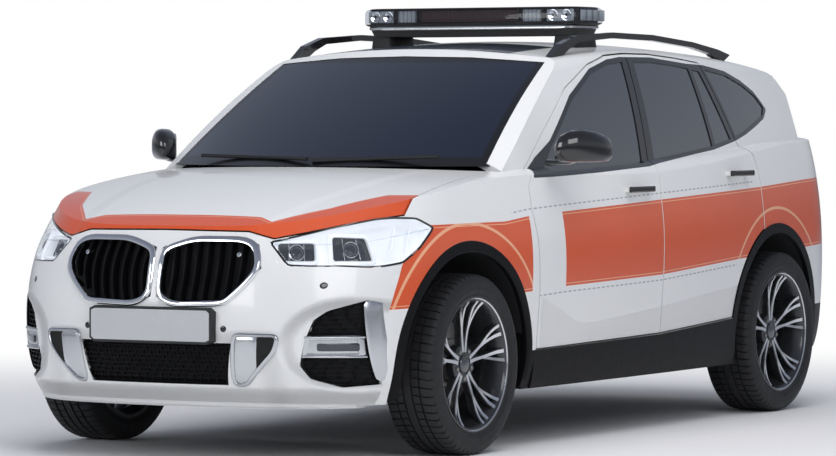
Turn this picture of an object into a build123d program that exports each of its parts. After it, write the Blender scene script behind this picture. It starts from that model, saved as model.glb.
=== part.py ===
"""Compact police SUV: a hollow unibody with panels, glass, opening doors, bonnet and tailgate, and steered, rolling wheels.

Frame: millimetres, +Z up from the ground, -Y forward, +X to the vehicle's left, origin under the middle of the
vehicle's length and width. Left-hand pieces are modelled and the right-hand ones are their mirror images.
"""

from build123d import *
from math import sin, cos, radians, sqrt, hypot, atan2, degrees
import os

os.makedirs("parts", exist_ok=True)

# ---------------------------------------------------------------- driving dimensions
WHEELBASE = 2670
FRONT_AXLE_Y = -1364
REAR_AXLE_Y = FRONT_AXLE_Y + WHEELBASE
TRACK_HALF = 781  # from the centre plane to a tyre's middle
TYRE_RADIUS = 342
TYRE_WIDTH = 225
RIM_RADIUS = 248
SIDE_ARC_RADIUS = 25000  # plan curvature of the body side

SHUT_GAP = 6  # between a moving panel and the body
DOOR_THICKNESS = 85
DOOR_STEP = 16  # how far a door's inner frame is set in from the edge of its skin
FRAME_THICKNESS = 42  # pillars and window frames
SKIN_THICKNESS = 16  # bonnet, wings, roof, bumpers and door skins
TRIM_PROUD = 4  # how far the cladding stands out
GLASS_THICKNESS = 5
GLASS_INSET = 4  # how far the panes lie below the painted surface
GLASS_LAP = 12  # how far a pane reaches under its frame

ARCH_RADIUS = 422  # the wheel opening
FRONT_HOUSING_X, REAR_HOUSING_X = 440, 604  # the inner walls of the wheel housings
CLADDING_WIDTH = 42
CLADDING_BOTTOM_Z = 223
GRILLE_FRAME = 12
BLADE_WIDTH = 15
GRILLE_DEPTH = 40
FRONT_HANDLE, REAR_HANDLE = (905, -31, 976), (893, 913, 1026)
ROOF_HALF_WIDTH = 575
TAILGATE_EDGE_Y = 1606
SPOILER_HALF_WIDTH, SPOILER_TIP_Y = 560, 1898
APRON_TOP_Z = 440
TAILPIPE_X, TAILPIPE_Z, TAILPIPE_RADIUS = 470, 306, 38
DISC_RADIUS = 158
# columns: x, y, z, depth, height, corner
MIRROR = [(890, -690, 1140, 60, 84, 25), (925, -676, 1147, 104, 122, 40), (990, -650, 1150, 112, 130, 44), (1034, -628, 1146, 84, 104, 36), (1050, -618, 1142, 40, 62, 18)]
FLOOR_Z = 262
JACK_X, JACK_Y, JACK_Z = 720, (-700, 700), 212
FLOOR_THICKNESS = 30

TUNNEL_TOP_Z = 420
LOAD_FLOOR_Z = 600
SPRING_X, SPRING_RADIUS = 530, 55
DAMPER_X, DAMPER_RADIUS = 572, 24

# ---------------------------------------------------------------- plan and section outlines


def circle_meet(c1, r1, c2, r2):
    """Both points at distance r1 from c1 and r2 from c2."""
    dx, dy = c2[0] - c1[0], c2[1] - c1[1]
    d = hypot(dx, dy)
    a = (d * d + r1 * r1 - r2 * r2) / (2 * d)
    h = sqrt(r1 * r1 - a * a)
    foot = (c1[0] + a * dx / d, c1[1] + a * dy / d)
    return [(foot[0] + s * h * dy / d, foot[1] - s * h * dx / d) for s in (1, -1)]


def towards(centre, point, radius):
    """The point at the given radius from centre, in the direction of point."""
    dx, dy = point[0] - centre[0], point[1] - centre[1]
    d = hypot(dx, dy)
    return (centre[0] + dx / d * radius, centre[1] + dy / d * radius)


def arc_through(centre, radius, start, end):
    """Start, middle and end of the short arc between two points of one circle."""
    middle = ((start[0] + end[0]) / 2, (start[1] + end[1]) / 2)
    return (start, towards(centre, middle, radius), end)


def mirrored(points):
    return tuple((-x, y) for x, y in reversed(points))


def waterline(nose_y, nose_r, nose_corner, half_width, tail_corner, tail_y, tail_r):
    """A closed plan outline of arcs that meet smoothly: nose, corner, side, corner and tail, then the mirror image."""
    nose, side, tail = (0, nose_y + nose_r), (half_width - SIDE_ARC_RADIUS, 0), (0, tail_y - tail_r)
    front = min(circle_meet(nose, nose_r - nose_corner, side, SIDE_ARC_RADIUS - nose_corner), key=lambda c: c[1])
    rear = max(circle_meet(tail, tail_r - tail_corner, side, SIDE_ARC_RADIUS - tail_corner), key=lambda c: c[1])
    a, b = towards(nose, front, nose_r), towards(side, front, SIDE_ARC_RADIUS)
    c, d = towards(side, rear, SIDE_ARC_RADIUS), towards(tail, rear, tail_r)
    left = [arc_through(front, nose_corner, a, b), (b, (half_width, 0), c), arc_through(rear, tail_corner, c, d)]
    right = [mirrored(arc) for arc in reversed(left)]
    return [((-a[0], a[1]), (0, nose_y), a)] + left + [(d, (0, tail_y), (-d[0], d[1]))] + right


# columns: z, slope, half_width, nose_y, nose_corner, tail_corner, tail_y
LOWER_BODY = [
    (200, 0.00, 855, -2120, 500, 430, 2110),
    (330, 0.00, 884, -2205, 520, 460, 2195),
    (520, 0.00, 897, -2225, 540, 490, 2225),
    (720, 0.01, 905, -2200, 590, 480, 2205),
    (880, 0.03, 893, -2160, 640, 470, 2185),
    (1010, 0.05, 868, -2110, 660, 450, 2150),
    (1180, 0.05, 820, -2050, 680, 430, 2080),
]
NOSE_RADIUS, TAIL_RADIUS = 2300, 3000


def lower_hull(inset=0):
    """The body below the windows, out to its bumpers, with its walls moved in by the inset."""
    rings = []
    for z, slope, half_width, nose_y, nose_corner, tail_corner, tail_y in LOWER_BODY:
        outline = waterline(
            nose_y + inset, NOSE_RADIUS - inset, nose_corner - inset, half_width - inset,
            tail_corner - inset, tail_y - inset, TAIL_RADIUS - inset,
        )
        lift = lambda p: Vector(p[0], p[1], z + slope * p[1])
        rings.append(Wire([ThreePointArc(*(lift(p) for p in arc)) for arc in outline]))
    return Solid.make_loft(rings)


def station(y, half_section):
    """A closed section across the vehicle from arcs and lines of its left half, listed from the centre outwards."""
    place = lambda p: Vector(p[0], y, p[1])
    edge = lambda spots: (ThreePointArc if len(spots) == 3 else Line)(*(place(p) for p in spots))
    crown, *rest = half_section
    bottom = rest[-1][-1]
    edges = [edge(((-crown[-1][0], crown[-1][1]), crown[0], crown[-1]))]
    edges += [edge(piece) for piece in rest]
    edges += [edge((bottom, (-bottom[0], bottom[1])))]
    edges += [edge(mirrored(piece)) for piece in reversed(rest)]
    return Wire(edges)


# columns: y, centre_z, line_z, radius
SHOULDER = [
    (-2320, 790, 742, 80),
    (-1740, 990, 868, 85),
    (-1160, 1083, 925, 95),
    (-580, 1118, 950, 105),
    (0, 1132, 968, 110),
    (580, 1152, 985, 115),
    (1160, 1180, 1003, 115),
    (1740, 1196, 1020, 110),
    (2320, 1180, 1035, 100),
]
SHOULDER_X = 893  # where the character line lies
SHOULDER_LEAN = radians(24)
BONNET_CROWN = 7400
SHOULDER_FOOT_Z = 120


def shoulder_hull(inset=0):
    """Everything under the bonnet and shoulder surface, which leans in above the character line."""
    rings = []
    for y, centre_z, line_z, radius in SHOULDER:
        crown_r = BONNET_CROWN - inset
        crown = (0, centre_z - BONNET_CROWN)
        normal = (cos(SHOULDER_LEAN), sin(SHOULDER_LEAN))
        along = (-normal[1], normal[0])
        on_line = (SHOULDER_X - inset * normal[0], line_z - inset * normal[1])
        corner_r = max(radius - inset, 8)
        # the corner arc's centre lies corner_r inside both the crown and the leaning line
        start = (on_line[0] - corner_r * normal[0], on_line[1] - corner_r * normal[1])
        lo, hi = 0.0, 900.0
        for _ in range(60):
            mid = (lo + hi) / 2
            reach = hypot(start[0] + along[0] * mid - crown[0], start[1] + along[1] * mid - crown[1])
            lo, hi = (mid, hi) if reach < crown_r - corner_r else (lo, mid)
        centre = (start[0] + along[0] * lo, start[1] + along[1] * lo)
        crown_end = towards(crown, centre, crown_r)
        line_top = (centre[0] + corner_r * normal[0], centre[1] + corner_r * normal[1])
        drop = line_top[1] - SHOULDER_FOOT_Z
        foot = (line_top[0] + drop * normal[1] / normal[0], SHOULDER_FOOT_Z)
        half = [((0, centre_z - inset), crown_end), arc_through(centre, corner_r, crown_end, line_top), (line_top, foot)]
        rings.append(station(y, half))
    return Solid.make_loft(rings)


# columns: y, centre_z, belt_x, top_x
CABIN = [
    (-1500, 1428, 735, 606),
    (-950, 1484, 775, 641),
    (-400, 1534, 804, 670),
    (150, 1574, 817, 684),
    (700, 1578, 816, 682),
    (1250, 1550, 800, 664),
    (1800, 1490, 762, 622),
    (2350, 1400, 704, 556),
]
BELT_Z, TOP_Z = 1050, 1450  # the heights of belt_x and top_x
CABIN_FOOT_Z = 900
ROOF_CROWN = 4500
CABIN_SIDE_RADIUS = 2600
ROOF_EDGE_RADIUS = 75


def cabin_tunnel(inset=0):
    """The cabin's sides and roof as one long tunnel, to be cut by the windscreen and the tail."""
    rings = []
    for y, centre_z, belt_x, top_x in CABIN:
        crown_r, side_r, edge_r = ROOF_CROWN - inset, CABIN_SIDE_RADIUS - inset, max(ROOF_EDGE_RADIUS - inset, 10)
        crown = (0, centre_z - ROOF_CROWN)
        side = min(circle_meet((belt_x, BELT_Z), CABIN_SIDE_RADIUS, (top_x, TOP_Z), CABIN_SIDE_RADIUS))
        corner = max(circle_meet(crown, crown_r - edge_r, side, side_r - edge_r))
        crown_end, side_top = towards(crown, corner, crown_r), towards(side, corner, side_r)
        foot = (side[0] + sqrt(side_r**2 - (CABIN_FOOT_Z - side[1]) ** 2), CABIN_FOOT_Z)
        half = [
            ((0, centre_z - inset), crown_end),
            arc_through(corner, edge_r, crown_end, side_top),
            arc_through(side, side_r, side_top, foot),
        ]
        rings.append(station(y, half))
    return Solid.make_loft(rings)


# columns: z, centre_y, radius
WINDSCREEN = [(880, -1580, 1150), (1098, -1183, 1200), (1300, -812, 1400), (1513, -384, 1600), (1700, 20, 1700)]
TAIL = [(880, 2185, 2600), (1090, 2140, 2500), (1217, 2062, 2300), (1330, 1960, 2200), (1440, 1846, 2100), (1700, 1540, 2000)]
SCREEN_HALF_WIDTH = 880


def screen_wedge(table, sign, inset=0):
    """All that lies behind a curved screen: sign -1 for the windscreen, +1 for the tail."""
    rings = []
    for z, centre_y, radius in table:
        r = radius - inset
        middle_y = centre_y - sign * inset
        edge_y = middle_y - sign * (r - sqrt(r * r - SCREEN_HALF_WIDTH**2))
        a, m, b = Vector(-SCREEN_HALF_WIDTH, edge_y, z), Vector(0, middle_y, z), Vector(SCREEN_HALF_WIDTH, edge_y, z)
        far_y = -sign * 2700
        back_a, back_b = Vector(-SCREEN_HALF_WIDTH, far_y, z), Vector(SCREEN_HALF_WIDTH, far_y, z)
        rings.append(Wire([ThreePointArc(a, m, b), Line(b, back_b), Line(back_b, back_a), Line(back_a, a)]))
    return Solid.make_loft(rings)


# columns: z, then X and Y of the left corner arc's start, middle and end
TAIL_CORNER = [
    (850, (860, 1583), (671, 2041), (0, 2335)),
    (1600, (860, 1008), (694, 1671), (0, 2210)),
]


def tail_column(inset=0):
    """A column that narrows upwards and rounds the cabin's rear corners down to those of the body."""
    rings = []
    for z, *arc in TAIL_CORNER:
        side, corner, middle = [Vector(x - inset * (x > 0), y - inset, z) for x, y in arc]
        facing = [Vector(-p.X, p.Y, p.Z) for p in (side, corner, middle)]
        front = Vector(side.X, -2600, z), Vector(-side.X, -2600, z)
        rings.append(Wire([
            ThreePointArc(side, corner, middle), ThreePointArc(middle, facing[1], facing[0]),
            Line(facing[0], front[1]), Line(front[1], front[0]), Line(front[0], side),
        ]))
    return Solid.make_loft(rings, ruled=True)


def cabin_hull(inset=0):
    return cabin_tunnel(inset) & screen_wedge(WINDSCREEN, -1, inset) & screen_wedge(TAIL, 1, inset) & tail_column(inset)


def body_hull(inset=0):
    return lower_hull(inset) & shoulder_hull(inset)


# ---------------------------------------------------------------- cutting tools


def side_prism(points, x0=300, x1=1100):
    """A prism along X over an outline in Y and Z."""
    face = Face(Wire(Polyline([Vector(x0, y, z) for y, z in points], close=True).edges()))
    return Solid.extrude(face, Vector(x1 - x0, 0, 0))


def plan_prism(points, z0=0, z1=1800):
    """A prism along Z over an outline in X and Y."""
    face = Face(Wire(Polyline([Vector(x, y, z0) for x, y in points], close=True).edges()))
    return Solid.extrude(face, Vector(0, 0, z1 - z0))


def front_prism(points, y0, y1):
    """A prism along Y over an outline in X and Z."""
    face = Face(Wire(Polyline([Vector(x, y0, z) for x, z in points], close=True).edges()))
    return Solid.extrude(face, Vector(0, y1 - y0, 0))


def slant_prism(points, heading, near, far):
    """A prism over an outline given as points on the body, extruded along a level heading in degrees from +X."""
    d = Vector(cos(radians(heading)), sin(radians(heading)), 0)
    flat = []
    for p in points:
        v = Vector(*p)
        flat.append(v + d * (near - v.dot(d)))
    face = Face(Wire(Polyline(flat, close=True).edges()))
    return Solid.extrude(face, d * (far - near))


def grown(points, gap):
    """An outline moved out by a gap, or in where the gap is negative."""
    n = len(points)
    area = sum(points[i][0] * points[(i + 1) % n][1] - points[(i + 1) % n][0] * points[i][1] for i in range(n))
    s = gap if area > 0 else -gap
    out = []
    for i in range(n):
        (ax, ay), (bx, by), (cx, cy) = points[i - 1], points[i], points[(i + 1) % n]
        n1 = ((by - ay), -(bx - ax))
        n2 = ((cy - by), -(cx - bx))
        l1, l2 = hypot(*n1), hypot(*n2)
        n1, n2 = (n1[0] / l1, n1[1] / l1), (n2[0] / l2, n2[1] / l2)
        k = s / max(1 + n1[0] * n2[0] + n1[1] * n2[1], 0.35)
        out.append((bx + (n1[0] + n2[0]) * k, by + (n1[1] + n2[1]) * k))
    return out


def cylinder_x(y, z, radius, x0, x1):
    return Pos((x0 + x1) / 2, y, z) * Rot(0, 90, 0) * Cylinder(radius, x1 - x0)


def block(x0, x1, y0, y1, z0, z1):
    return Pos((x0 + x1) / 2, (y0 + y1) / 2, (z0 + z1) / 2) * Box(x1 - x0, y1 - y0, z1 - z0)


def flip(shape):
    return mirror(shape, about=Plane.YZ)


def solids_of(shape):
    found = shape.solids() if hasattr(shape, "solids") else [s for part in shape for s in part.solids()]
    return [s for s in found if s.volume > 500]


def biggest(shape):
    return max(solids_of(shape), key=lambda s: s.volume)


def save(node, *shapes):
    """Writes one node, as the separate solids of the shapes given."""
    solids = [s for shape in shapes for s in solids_of(shape)]
    export_step(Compound(children=solids) if len(solids) > 1 else solids[0], f"parts/{node}.step")
    print(node, len(solids), round(sum(s.volume for s in solids) / 1e6, 2))


# ---------------------------------------------------------------- outlines on the side, in Y and Z
FRONT_SHUT = [(-862, 377), (-858, 600), (-868, 800), (-884, 920), (-868, 1000), (-806, 1056)]
FRONT_ROOF_LINE = [(-580, 1211), (-310, 1380), (-60, 1475), (130, 1513), (300, 1522)]
MIDDLE_SHUT = [(300, 1522), (200, 1085), (172, 930), (160, 700), (152, 392)]
REAR_ROOF_LINE = [(520, 1521), (760, 1506), (962, 1488)]
REAR_SHUT = [(1078, 1160), (1130, 1096), (1155, 1030), (1160, 790), (1160, 500)]
FRONT_DOOR = FRONT_SHUT + FRONT_ROOF_LINE + MIDDLE_SHUT[1:]
REAR_DOOR = MIDDLE_SHUT[::-1] + REAR_ROOF_LINE + REAR_SHUT + [(830, 424)]
FRONT_WINDOW = [(-668, 1052), (-552, 1150), (-296, 1330), (-60, 1440), (120, 1480), (246, 1490), (150, 1080), (-300, 1062)]
REAR_WINDOW = [(262, 1092), (346, 1490), (520, 1490), (740, 1476), (840, 1466), (836, 1140), (600, 1120)]
REAR_SIDE_PANE = [(868, 1146), (872, 1462), (938, 1454), (1036, 1168)]
QUARTER_WINDOW = [(1000, 1462), (1098, 1178), (1206, 1200), (1332, 1232), (1460, 1268), (1494, 1302), (1440, 1352), (1336, 1398), (1200, 1438)]
SILL = [(-885, 210), (-885, 371), (-858, 371), (160, 384), (835, 416), (860, 416), (860, 210)]

# outlines across the vehicle, in X and Z, right half to left half
WINDSCREEN_OUTLINE = [(-709, 1092), (709, 1092), (614, 1486), (310, 1507), (0, 1513), (-310, 1507), (-614, 1486)]
TAILGATE_HALF = [(598, 1640), (598, 1440), (640, 1250), (668, 1110), (660, 900), (628, 748)]
REAR_WINDOW_HALF = [(470, 1428), (500, 1400), (560, 1190), (540, 1160)]
KIDNEY = [(13, 795), (142, 836), (346, 836), (404, 808), (430, 722), (385, 661), (326, 605), (297, 586), (78, 579), (12, 614)]
LOWER_GRILLE_HALF = [(300, 292), (330, 448)]
SIDE_INTAKE = [(572, 368), (593, 462), (618, 535), (656, 567), (756, 604), (788, 593), (796, 457), (803, 313), (775, 293), (683, 285), (599, 319)]
LAMP_OUTLINE = [(430, 925), (430, 990), (600, 1010), (1000, 1010), (1000, 860), (760, 860), (700, 915)]

BLADE = [(336, 484), (513, 482), (498, 418), (376, 287), (322, 287)]

# outlines from above, in X and Y
BONNET_SIDE = [(782, -2330), (780, -1901), (765, -1542), (740, -1027), (722, -889)]
BONNET_REAR = [(700, -972), (600, -1046), (400, -1140), (200, -1192), (0, -1210)]
BONNET_FRONT = [(0, 862), (350, 858), (449, 832), (548, 854), (638, 878), (713, 897), (775, 913), (990, 930)]

# the headlight, as points on the body
HEADLIGHT_TOP = [(449, -2117, 817), (548, -2071, 840), (638, -2008, 865), (713, -1934, 885), (760, -1868, 898), (793, -1804, 902), (831, -1701, 899), (848, -1605, 862)]
HEADLIGHT_BOTTOM = [(833, -1690, 789), (808, -1772, 738), (773, -1843, 727), (736, -1903, 723), (665, -1983, 728), (578, -2052, 729), (505, -2094, 733)]
HEADLIGHT_HEADING = -52

BUMPER_LINE = [(-1865, 200), (-1865, 556), (-1831, 639), (-1790, 725), (-1755, 775), (-1905, 800), (-1905, 1000), (-2400, 1000), (-2400, 200)]
REAR_BUMPER_TOP = 742
REAR_BUMPER_FRONT_Y = 1724


def both_halves(half):
    """A closed outline from its left half, listed from the top centre down."""
    return half + [(-x, z) for x, z in reversed(half)]


# ---------------------------------------------------------------- the hulls
EVERYWHERE_LEFT = block(0, 1300, -2500, 2500, 0, 1900)
BODY, CABIN_OUT = body_hull(), cabin_hull()
OUTER = BODY + CABIN_OUT
SKIN_IN = body_hull(SKIN_THICKNESS) + cabin_hull(SKIN_THICKNESS)
BODY_VOID = body_hull(DOOR_THICKNESS)
VOID = BODY_VOID + cabin_hull(FRAME_THICKNESS)
PROUD = body_hull(-TRIM_PROUD)
GLASS_SHEET = cabin_hull(GLASS_INSET) - cabin_hull(GLASS_INSET + GLASS_THICKNESS)

SHEET_LEFT = (OUTER & EVERYWHERE_LEFT) - SKIN_IN
BODY_SHEET = BODY - SKIN_IN - CABIN_OUT


def arch(radius, y, x0=FRONT_HOUSING_X, x1=1100):
    return cylinder_x(y, TYRE_RADIUS, radius, x0, x1)


ARCH_TRIM_RADIUS = ARCH_RADIUS + CLADDING_WIDTH
FRONT_ARCH, REAR_ARCH = arch(ARCH_TRIM_RADIUS, FRONT_AXLE_Y), arch(ARCH_TRIM_RADIUS, REAR_AXLE_Y, REAR_HOUSING_X)
FRONT_ARCHES, REAR_ARCHES = FRONT_ARCH + flip(FRONT_ARCH), REAR_ARCH + flip(REAR_ARCH)

HEADLIGHT = slant_prism(HEADLIGHT_TOP + HEADLIGHT_BOTTOM, HEADLIGHT_HEADING, 1500, 2400)
HEADLIGHTS = HEADLIGHT + flip(HEADLIGHT)


# ---------------------------------------------------------------- doors


def door_shell(outline, cuts):
    """An outer skin with the full outline over a frame that is set in, so the closing edges clear their neighbours."""
    rim = side_prism(grown(outline, 1), 400) - side_prism(grown(outline, -DOOR_STEP), 400)
    return (OUTER & side_prism(outline, 400)) - [VOID, SKIN_IN & rim, *cuts]


def pane(outline, x0=400):
    return biggest(GLASS_SHEET & side_prism(grown(outline, GLASS_LAP), x0))


front_pane = pane(FRONT_WINDOW)
front_door = biggest(door_shell(FRONT_DOOR, [side_prism(FRONT_WINDOW, 400), front_pane]))
rear_panes = [pane(REAR_WINDOW), pane(REAR_SIDE_PANE)]
rear_cuts = [arch(ARCH_TRIM_RADIUS + SHUT_GAP, REAR_AXLE_Y), side_prism(REAR_WINDOW, 400), side_prism(REAR_SIDE_PANE, 400)]
rear_cuts += [side_prism(grown(FRONT_DOOR, SHUT_GAP), 400)]
rear_door = biggest(door_shell(REAR_DOOR, rear_cuts + rear_panes))


def handle_cup(x, y, z):
    """The finger recess behind the middle of a handle."""
    return Pos(x - 14, y, z - 6) * Rot(0, 90, 0) * extrude(SlotOverall(120, 56, rotation=90), 60, both=False)


def handle(x, y, z):
    """A pull handle on two feet, proud of the door skin."""
    bar = Pos(x, y, z) * fillet(Box(16, 200, 24).edges().filter_by(Axis.Y), 6)
    feet = [Pos(x - 18, y + dy, z) * Box(44, 24, 18) for dy in (-80, 80)]
    return bar + feet


front_door = front_door - handle_cup(*FRONT_HANDLE) + handle(*FRONT_HANDLE)
rear_door = rear_door - handle_cup(*REAR_HANDLE) + handle(*REAR_HANDLE)

mirror_sections = [Plane(origin=(x, y, z), x_dir=(0, 1, 0), z_dir=(1, 0, 0)) * RectangleRounded(depth, height, corner) for x, y, z, depth, height, corner in MIRROR]
mirror_head = loft(mirror_sections)
mirror_arm = Pos(884, -716, 1092) * Rot(0, 0, 14) * fillet(Box(118, 70, 30).edges(), 12)
side_mirror = biggest((mirror_head + mirror_arm) - front_door - front_pane)

save("front_left_door", front_door)
save("front_right_door", flip(front_door))
save("front_left_door_glass", front_pane)
save("front_right_door_glass", flip(front_pane))
save("left_mirror", side_mirror)
save("right_mirror", flip(side_mirror))
save("rear_left_door", rear_door)
save("rear_right_door", flip(rear_door))
save("rear_left_door_glass", *rear_panes)
save("rear_right_door_glass", *[flip(p) for p in rear_panes])

# ---------------------------------------------------------------- bonnet, wings and bumpers
bonnet_plan = BONNET_SIDE + BONNET_REAR + [(-x, y) for x, y in reversed((BONNET_SIDE + BONNET_REAR)[:-1])]
bonnet_front = BONNET_FRONT + [(990, 1400), (-990, 1400)] + [(-x, z) for x, z in reversed(BONNET_FRONT[1:])]
BONNET_ZONE = plan_prism(bonnet_plan, 780, 1300) & front_prism(bonnet_front, -2400, -700)
BONNET_GAP_ZONE = plan_prism(grown(bonnet_plan, SHUT_GAP), 780, 1300) & front_prism(grown(bonnet_front, SHUT_GAP), -2400, -700)
bonnet = biggest(BODY_SHEET & BONNET_ZONE)
save("bonnet", bonnet)

BUMPER_ZONE = side_prism(BUMPER_LINE, -1100)
wing_zone = side_prism([(-2000, 371), (-2000, 1300), (-876, 1300), (-876, 1020), (-840, 371)], 400)
wing = biggest((BODY_SHEET & wing_zone) - [BUMPER_ZONE, BONNET_GAP_ZONE, HEADLIGHT, FRONT_ARCH, side_prism(grown(FRONT_DOOR, SHUT_GAP), 400)])
save("front_wings", wing, flip(wing))

kidney_hole = front_prism(KIDNEY, -2400, -2000)
side_hole = front_prism(SIDE_INTAKE, -2400, -1800)
lower_outline = both_halves(LOWER_GRILLE_HALF)
lower_hole = front_prism(lower_outline, -2400, -2000)
bumper_cuts = [BONNET_GAP_ZONE, HEADLIGHT, flip(HEADLIGHT), FRONT_ARCH, flip(FRONT_ARCH)]
bumper_cuts += [kidney_hole, flip(kidney_hole), side_hole, flip(side_hole), lower_hole]
front_bumper = biggest((BODY_SHEET & (BUMPER_ZONE & block(-1000, 1000, -2400, -1500, 214, 1000))) - bumper_cuts)
save("front_bumper", front_bumper)
headlight = biggest((BODY & HEADLIGHT) - [BODY_VOID, BONNET_GAP_ZONE])
save("headlights", headlight, flip(headlight))

# ---------------------------------------------------------------- grilles


def grille(outline, y0, y1, pitch, vertical=True):
    """A layer of the hull that fills a hole in the bumper, cut through by a row of cells that leave a frame and bars."""
    inner = grown(outline, -GRILLE_FRAME)
    x0, x1 = min(p[0] for p in inner), max(p[0] for p in inner)
    z0, z1 = min(p[1] for p in inner), max(p[1] for p in inner)
    count = round(((x1 - x0) if vertical else (z1 - z0)) / pitch)
    cells = []
    for i in range(count):
        a, b = i / count, (i + 1) / count
        if vertical:
            cell = block(x0 + (x1 - x0) * a + 3, x0 + (x1 - x0) * b - 3, y0 - 9, y1 + 9, z0, z1)
        else:
            cell = block(x0, x1, y0 - 9, y1 + 9, z0 + (z1 - z0) * a + 3, z0 + (z1 - z0) * b - 3)
        cells.append(cell & front_prism(inner, y0 - 9, y1 + 9))
    return biggest((PROUD & front_prism(outline, y0, y1)) - [GRILLE_BACK, *cells])


GRILLE_BACK = body_hull(GRILLE_DEPTH)
kidney = grille(KIDNEY, -2400, -2000, 44)
lower_grille = grille(lower_outline, -2400, -2000, 40, vertical=False)
side_grille = biggest(grille(SIDE_INTAKE, -2400, -1810, 62, vertical=False) & BUMPER_ZONE)
blade_ring = front_prism(BLADE, -2400, -2000) - front_prism(grown(BLADE, -BLADE_WIDTH), -2401, -1999)
blade = biggest((PROUD & blade_ring) - BODY)
save("grilles", kidney, flip(kidney), lower_grille, side_grille, flip(side_grille), blade, flip(blade))

# ---------------------------------------------------------------- cladding along the wheel arches and sills
front_ring = FRONT_ARCH - arch(ARCH_RADIUS, FRONT_AXLE_Y)
rear_ring = REAR_ARCH - arch(ARCH_RADIUS, REAR_AXLE_Y)
cladding_zone = (front_ring + [rear_ring, side_prism(SILL, 600)]) - [arch(ARCH_RADIUS, FRONT_AXLE_Y), arch(ARCH_RADIUS, REAR_AXLE_Y)]
cladding = biggest((PROUD & (cladding_zone & block(600, 1200, -2500, 2500, CLADDING_BOTTOM_Z, 1000))) - SKIN_IN)
save("arch_cladding", cladding, flip(cladding))

# ---------------------------------------------------------------- glass, roof, tailgate and rear bumper
windscreen = biggest(GLASS_SHEET & front_prism(grown(WINDSCREEN_OUTLINE, GLASS_LAP), -1700, -100))
save("windscreen", windscreen)
quarter_pane = pane(QUARTER_WINDOW)
save("quarter_glass", quarter_pane, flip(quarter_pane))

WINDSCREEN_ZONE = front_prism(WINDSCREEN_OUTLINE, -1800, -100)
roof_zone = block(-ROOF_HALF_WIDTH, ROOF_HALF_WIDTH, -600, TAILGATE_EDGE_Y - SHUT_GAP, 1300, 1700)
roof = biggest((CABIN_OUT & roof_zone) - [SKIN_IN, WINDSCREEN_ZONE, windscreen])
save("roof", roof)

tailgate_outline = both_halves(TAILGATE_HALF)
tail_zone = lambda outline: front_prism(outline, TAILGATE_EDGE_Y, 2400)
tail_window = both_halves(REAR_WINDOW_HALF)
tail_pane = biggest(GLASS_SHEET & front_prism(grown(tail_window, GLASS_LAP), TAILGATE_EDGE_Y + 60, 2400))
tail_rim = front_prism(grown(tailgate_outline, 1), TAILGATE_EDGE_Y - 1, 2400) - front_prism(grown(tailgate_outline, -DOOR_STEP), TAILGATE_EDGE_Y + DOOR_STEP, 2400)
tailgate = (OUTER & tail_zone(tailgate_outline)) - [VOID, SKIN_IN & tail_rim, front_prism(tail_window, TAILGATE_EDGE_Y + 60, 2400), tail_pane]
lamp_zone = front_prism(LAMP_OUTLINE, 1930, 2400)
tailgate_lamp = biggest(SHEET_LEFT & lamp_zone & tail_zone(tailgate_outline) & front_prism(grown(tailgate_outline, -10), 1600, 2400))
spoiler = (cabin_tunnel() - cabin_tunnel(SKIN_THICKNESS)) & block(-SPOILER_HALF_WIDTH, SPOILER_HALF_WIDTH, 1740, SPOILER_TIP_Y, 1380, 1700)
tailgate = biggest(biggest(tailgate - [tailgate_lamp, flip(tailgate_lamp)]) + spoiler - tail_pane)
save("tailgate", tailgate)
save("tailgate_glass", tail_pane)
save("tailgate_lamps", tailgate_lamp, flip(tailgate_lamp))

TAIL_GAP_ZONE = front_prism(grown(tailgate_outline, SHUT_GAP), TAILGATE_EDGE_Y - SHUT_GAP, 2400)
body_lamp = biggest((SHEET_LEFT & lamp_zone) - TAIL_GAP_ZONE)
save("tail_lamps", body_lamp, flip(body_lamp))
rear_bumper_zone = block(-1000, 1000, REAR_BUMPER_FRONT_Y, 2400, 250, REAR_BUMPER_TOP)
rear_skin = (BODY_SHEET & rear_bumper_zone) - REAR_ARCHES
rear_bumper = biggest(rear_skin & block(-1000, 1000, 1000, 2400, APRON_TOP_Z + 1, 1000))
pipe_holes = [Pos(x, 2200, TAILPIPE_Z) * Rot(90, 0, 0) * Cylinder(TAILPIPE_RADIUS + 8, 300) for x in (-TAILPIPE_X, TAILPIPE_X)]
rear_apron = biggest((rear_skin & block(-1000, 1000, 1000, 2400, 0, APRON_TOP_Z)) - pipe_holes)
save("rear_bumper", rear_bumper)
save("rear_apron", rear_apron)

# ---------------------------------------------------------------- side structure
side = (OUTER & block(300, 1200, -960, 2500, CLADDING_BOTTOM_Z, 1700)) - [VOID, BODY_SHEET & block(0, 1200, -1400, -876, 0, 1300)]
side = side - [
    wing, cladding, body_lamp, windscreen, quarter_pane, REAR_ARCH, WINDSCREEN_ZONE, TAIL_GAP_ZONE, side_prism(QUARTER_WINDOW, 300),
    side_prism(grown(FRONT_DOOR, SHUT_GAP), 400), side_prism(grown(REAR_DOOR, SHUT_GAP), 400), arch(ARCH_RADIUS + 9, FRONT_AXLE_Y),
    side_prism([(-1500, 200), (-1500, 1020), (-876, 1020), (-862, 371), (-862, 200)], 860),
    block(0, ROOF_HALF_WIDTH, -600, 1900, 1300, 1700), block(0, 1200, REAR_BUMPER_FRONT_Y, 2400, 0, REAR_BUMPER_TOP),
]
pillar_top = FLOOR_Z + FLOOR_THICKNESS
pillar = front_prism([(772, pillar_top), (790, 420), (800, 560), (806, 700), (804, 830), (786, 905), (760, 975), (755, 1050), (690, 1290), (622, 1440), (575, 1440), (634, 1280), (700, 1040), (744, 860), (744, pillar_top)], 90, 360)
pillar = pillar & side_prism([(120, 230), (120, 1000), (200, 1480), (330, 1480), (252, 1000), (240, 230)], 400)
side = biggest(biggest(side) + pillar)
save("body_sides", side, flip(side))

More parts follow.
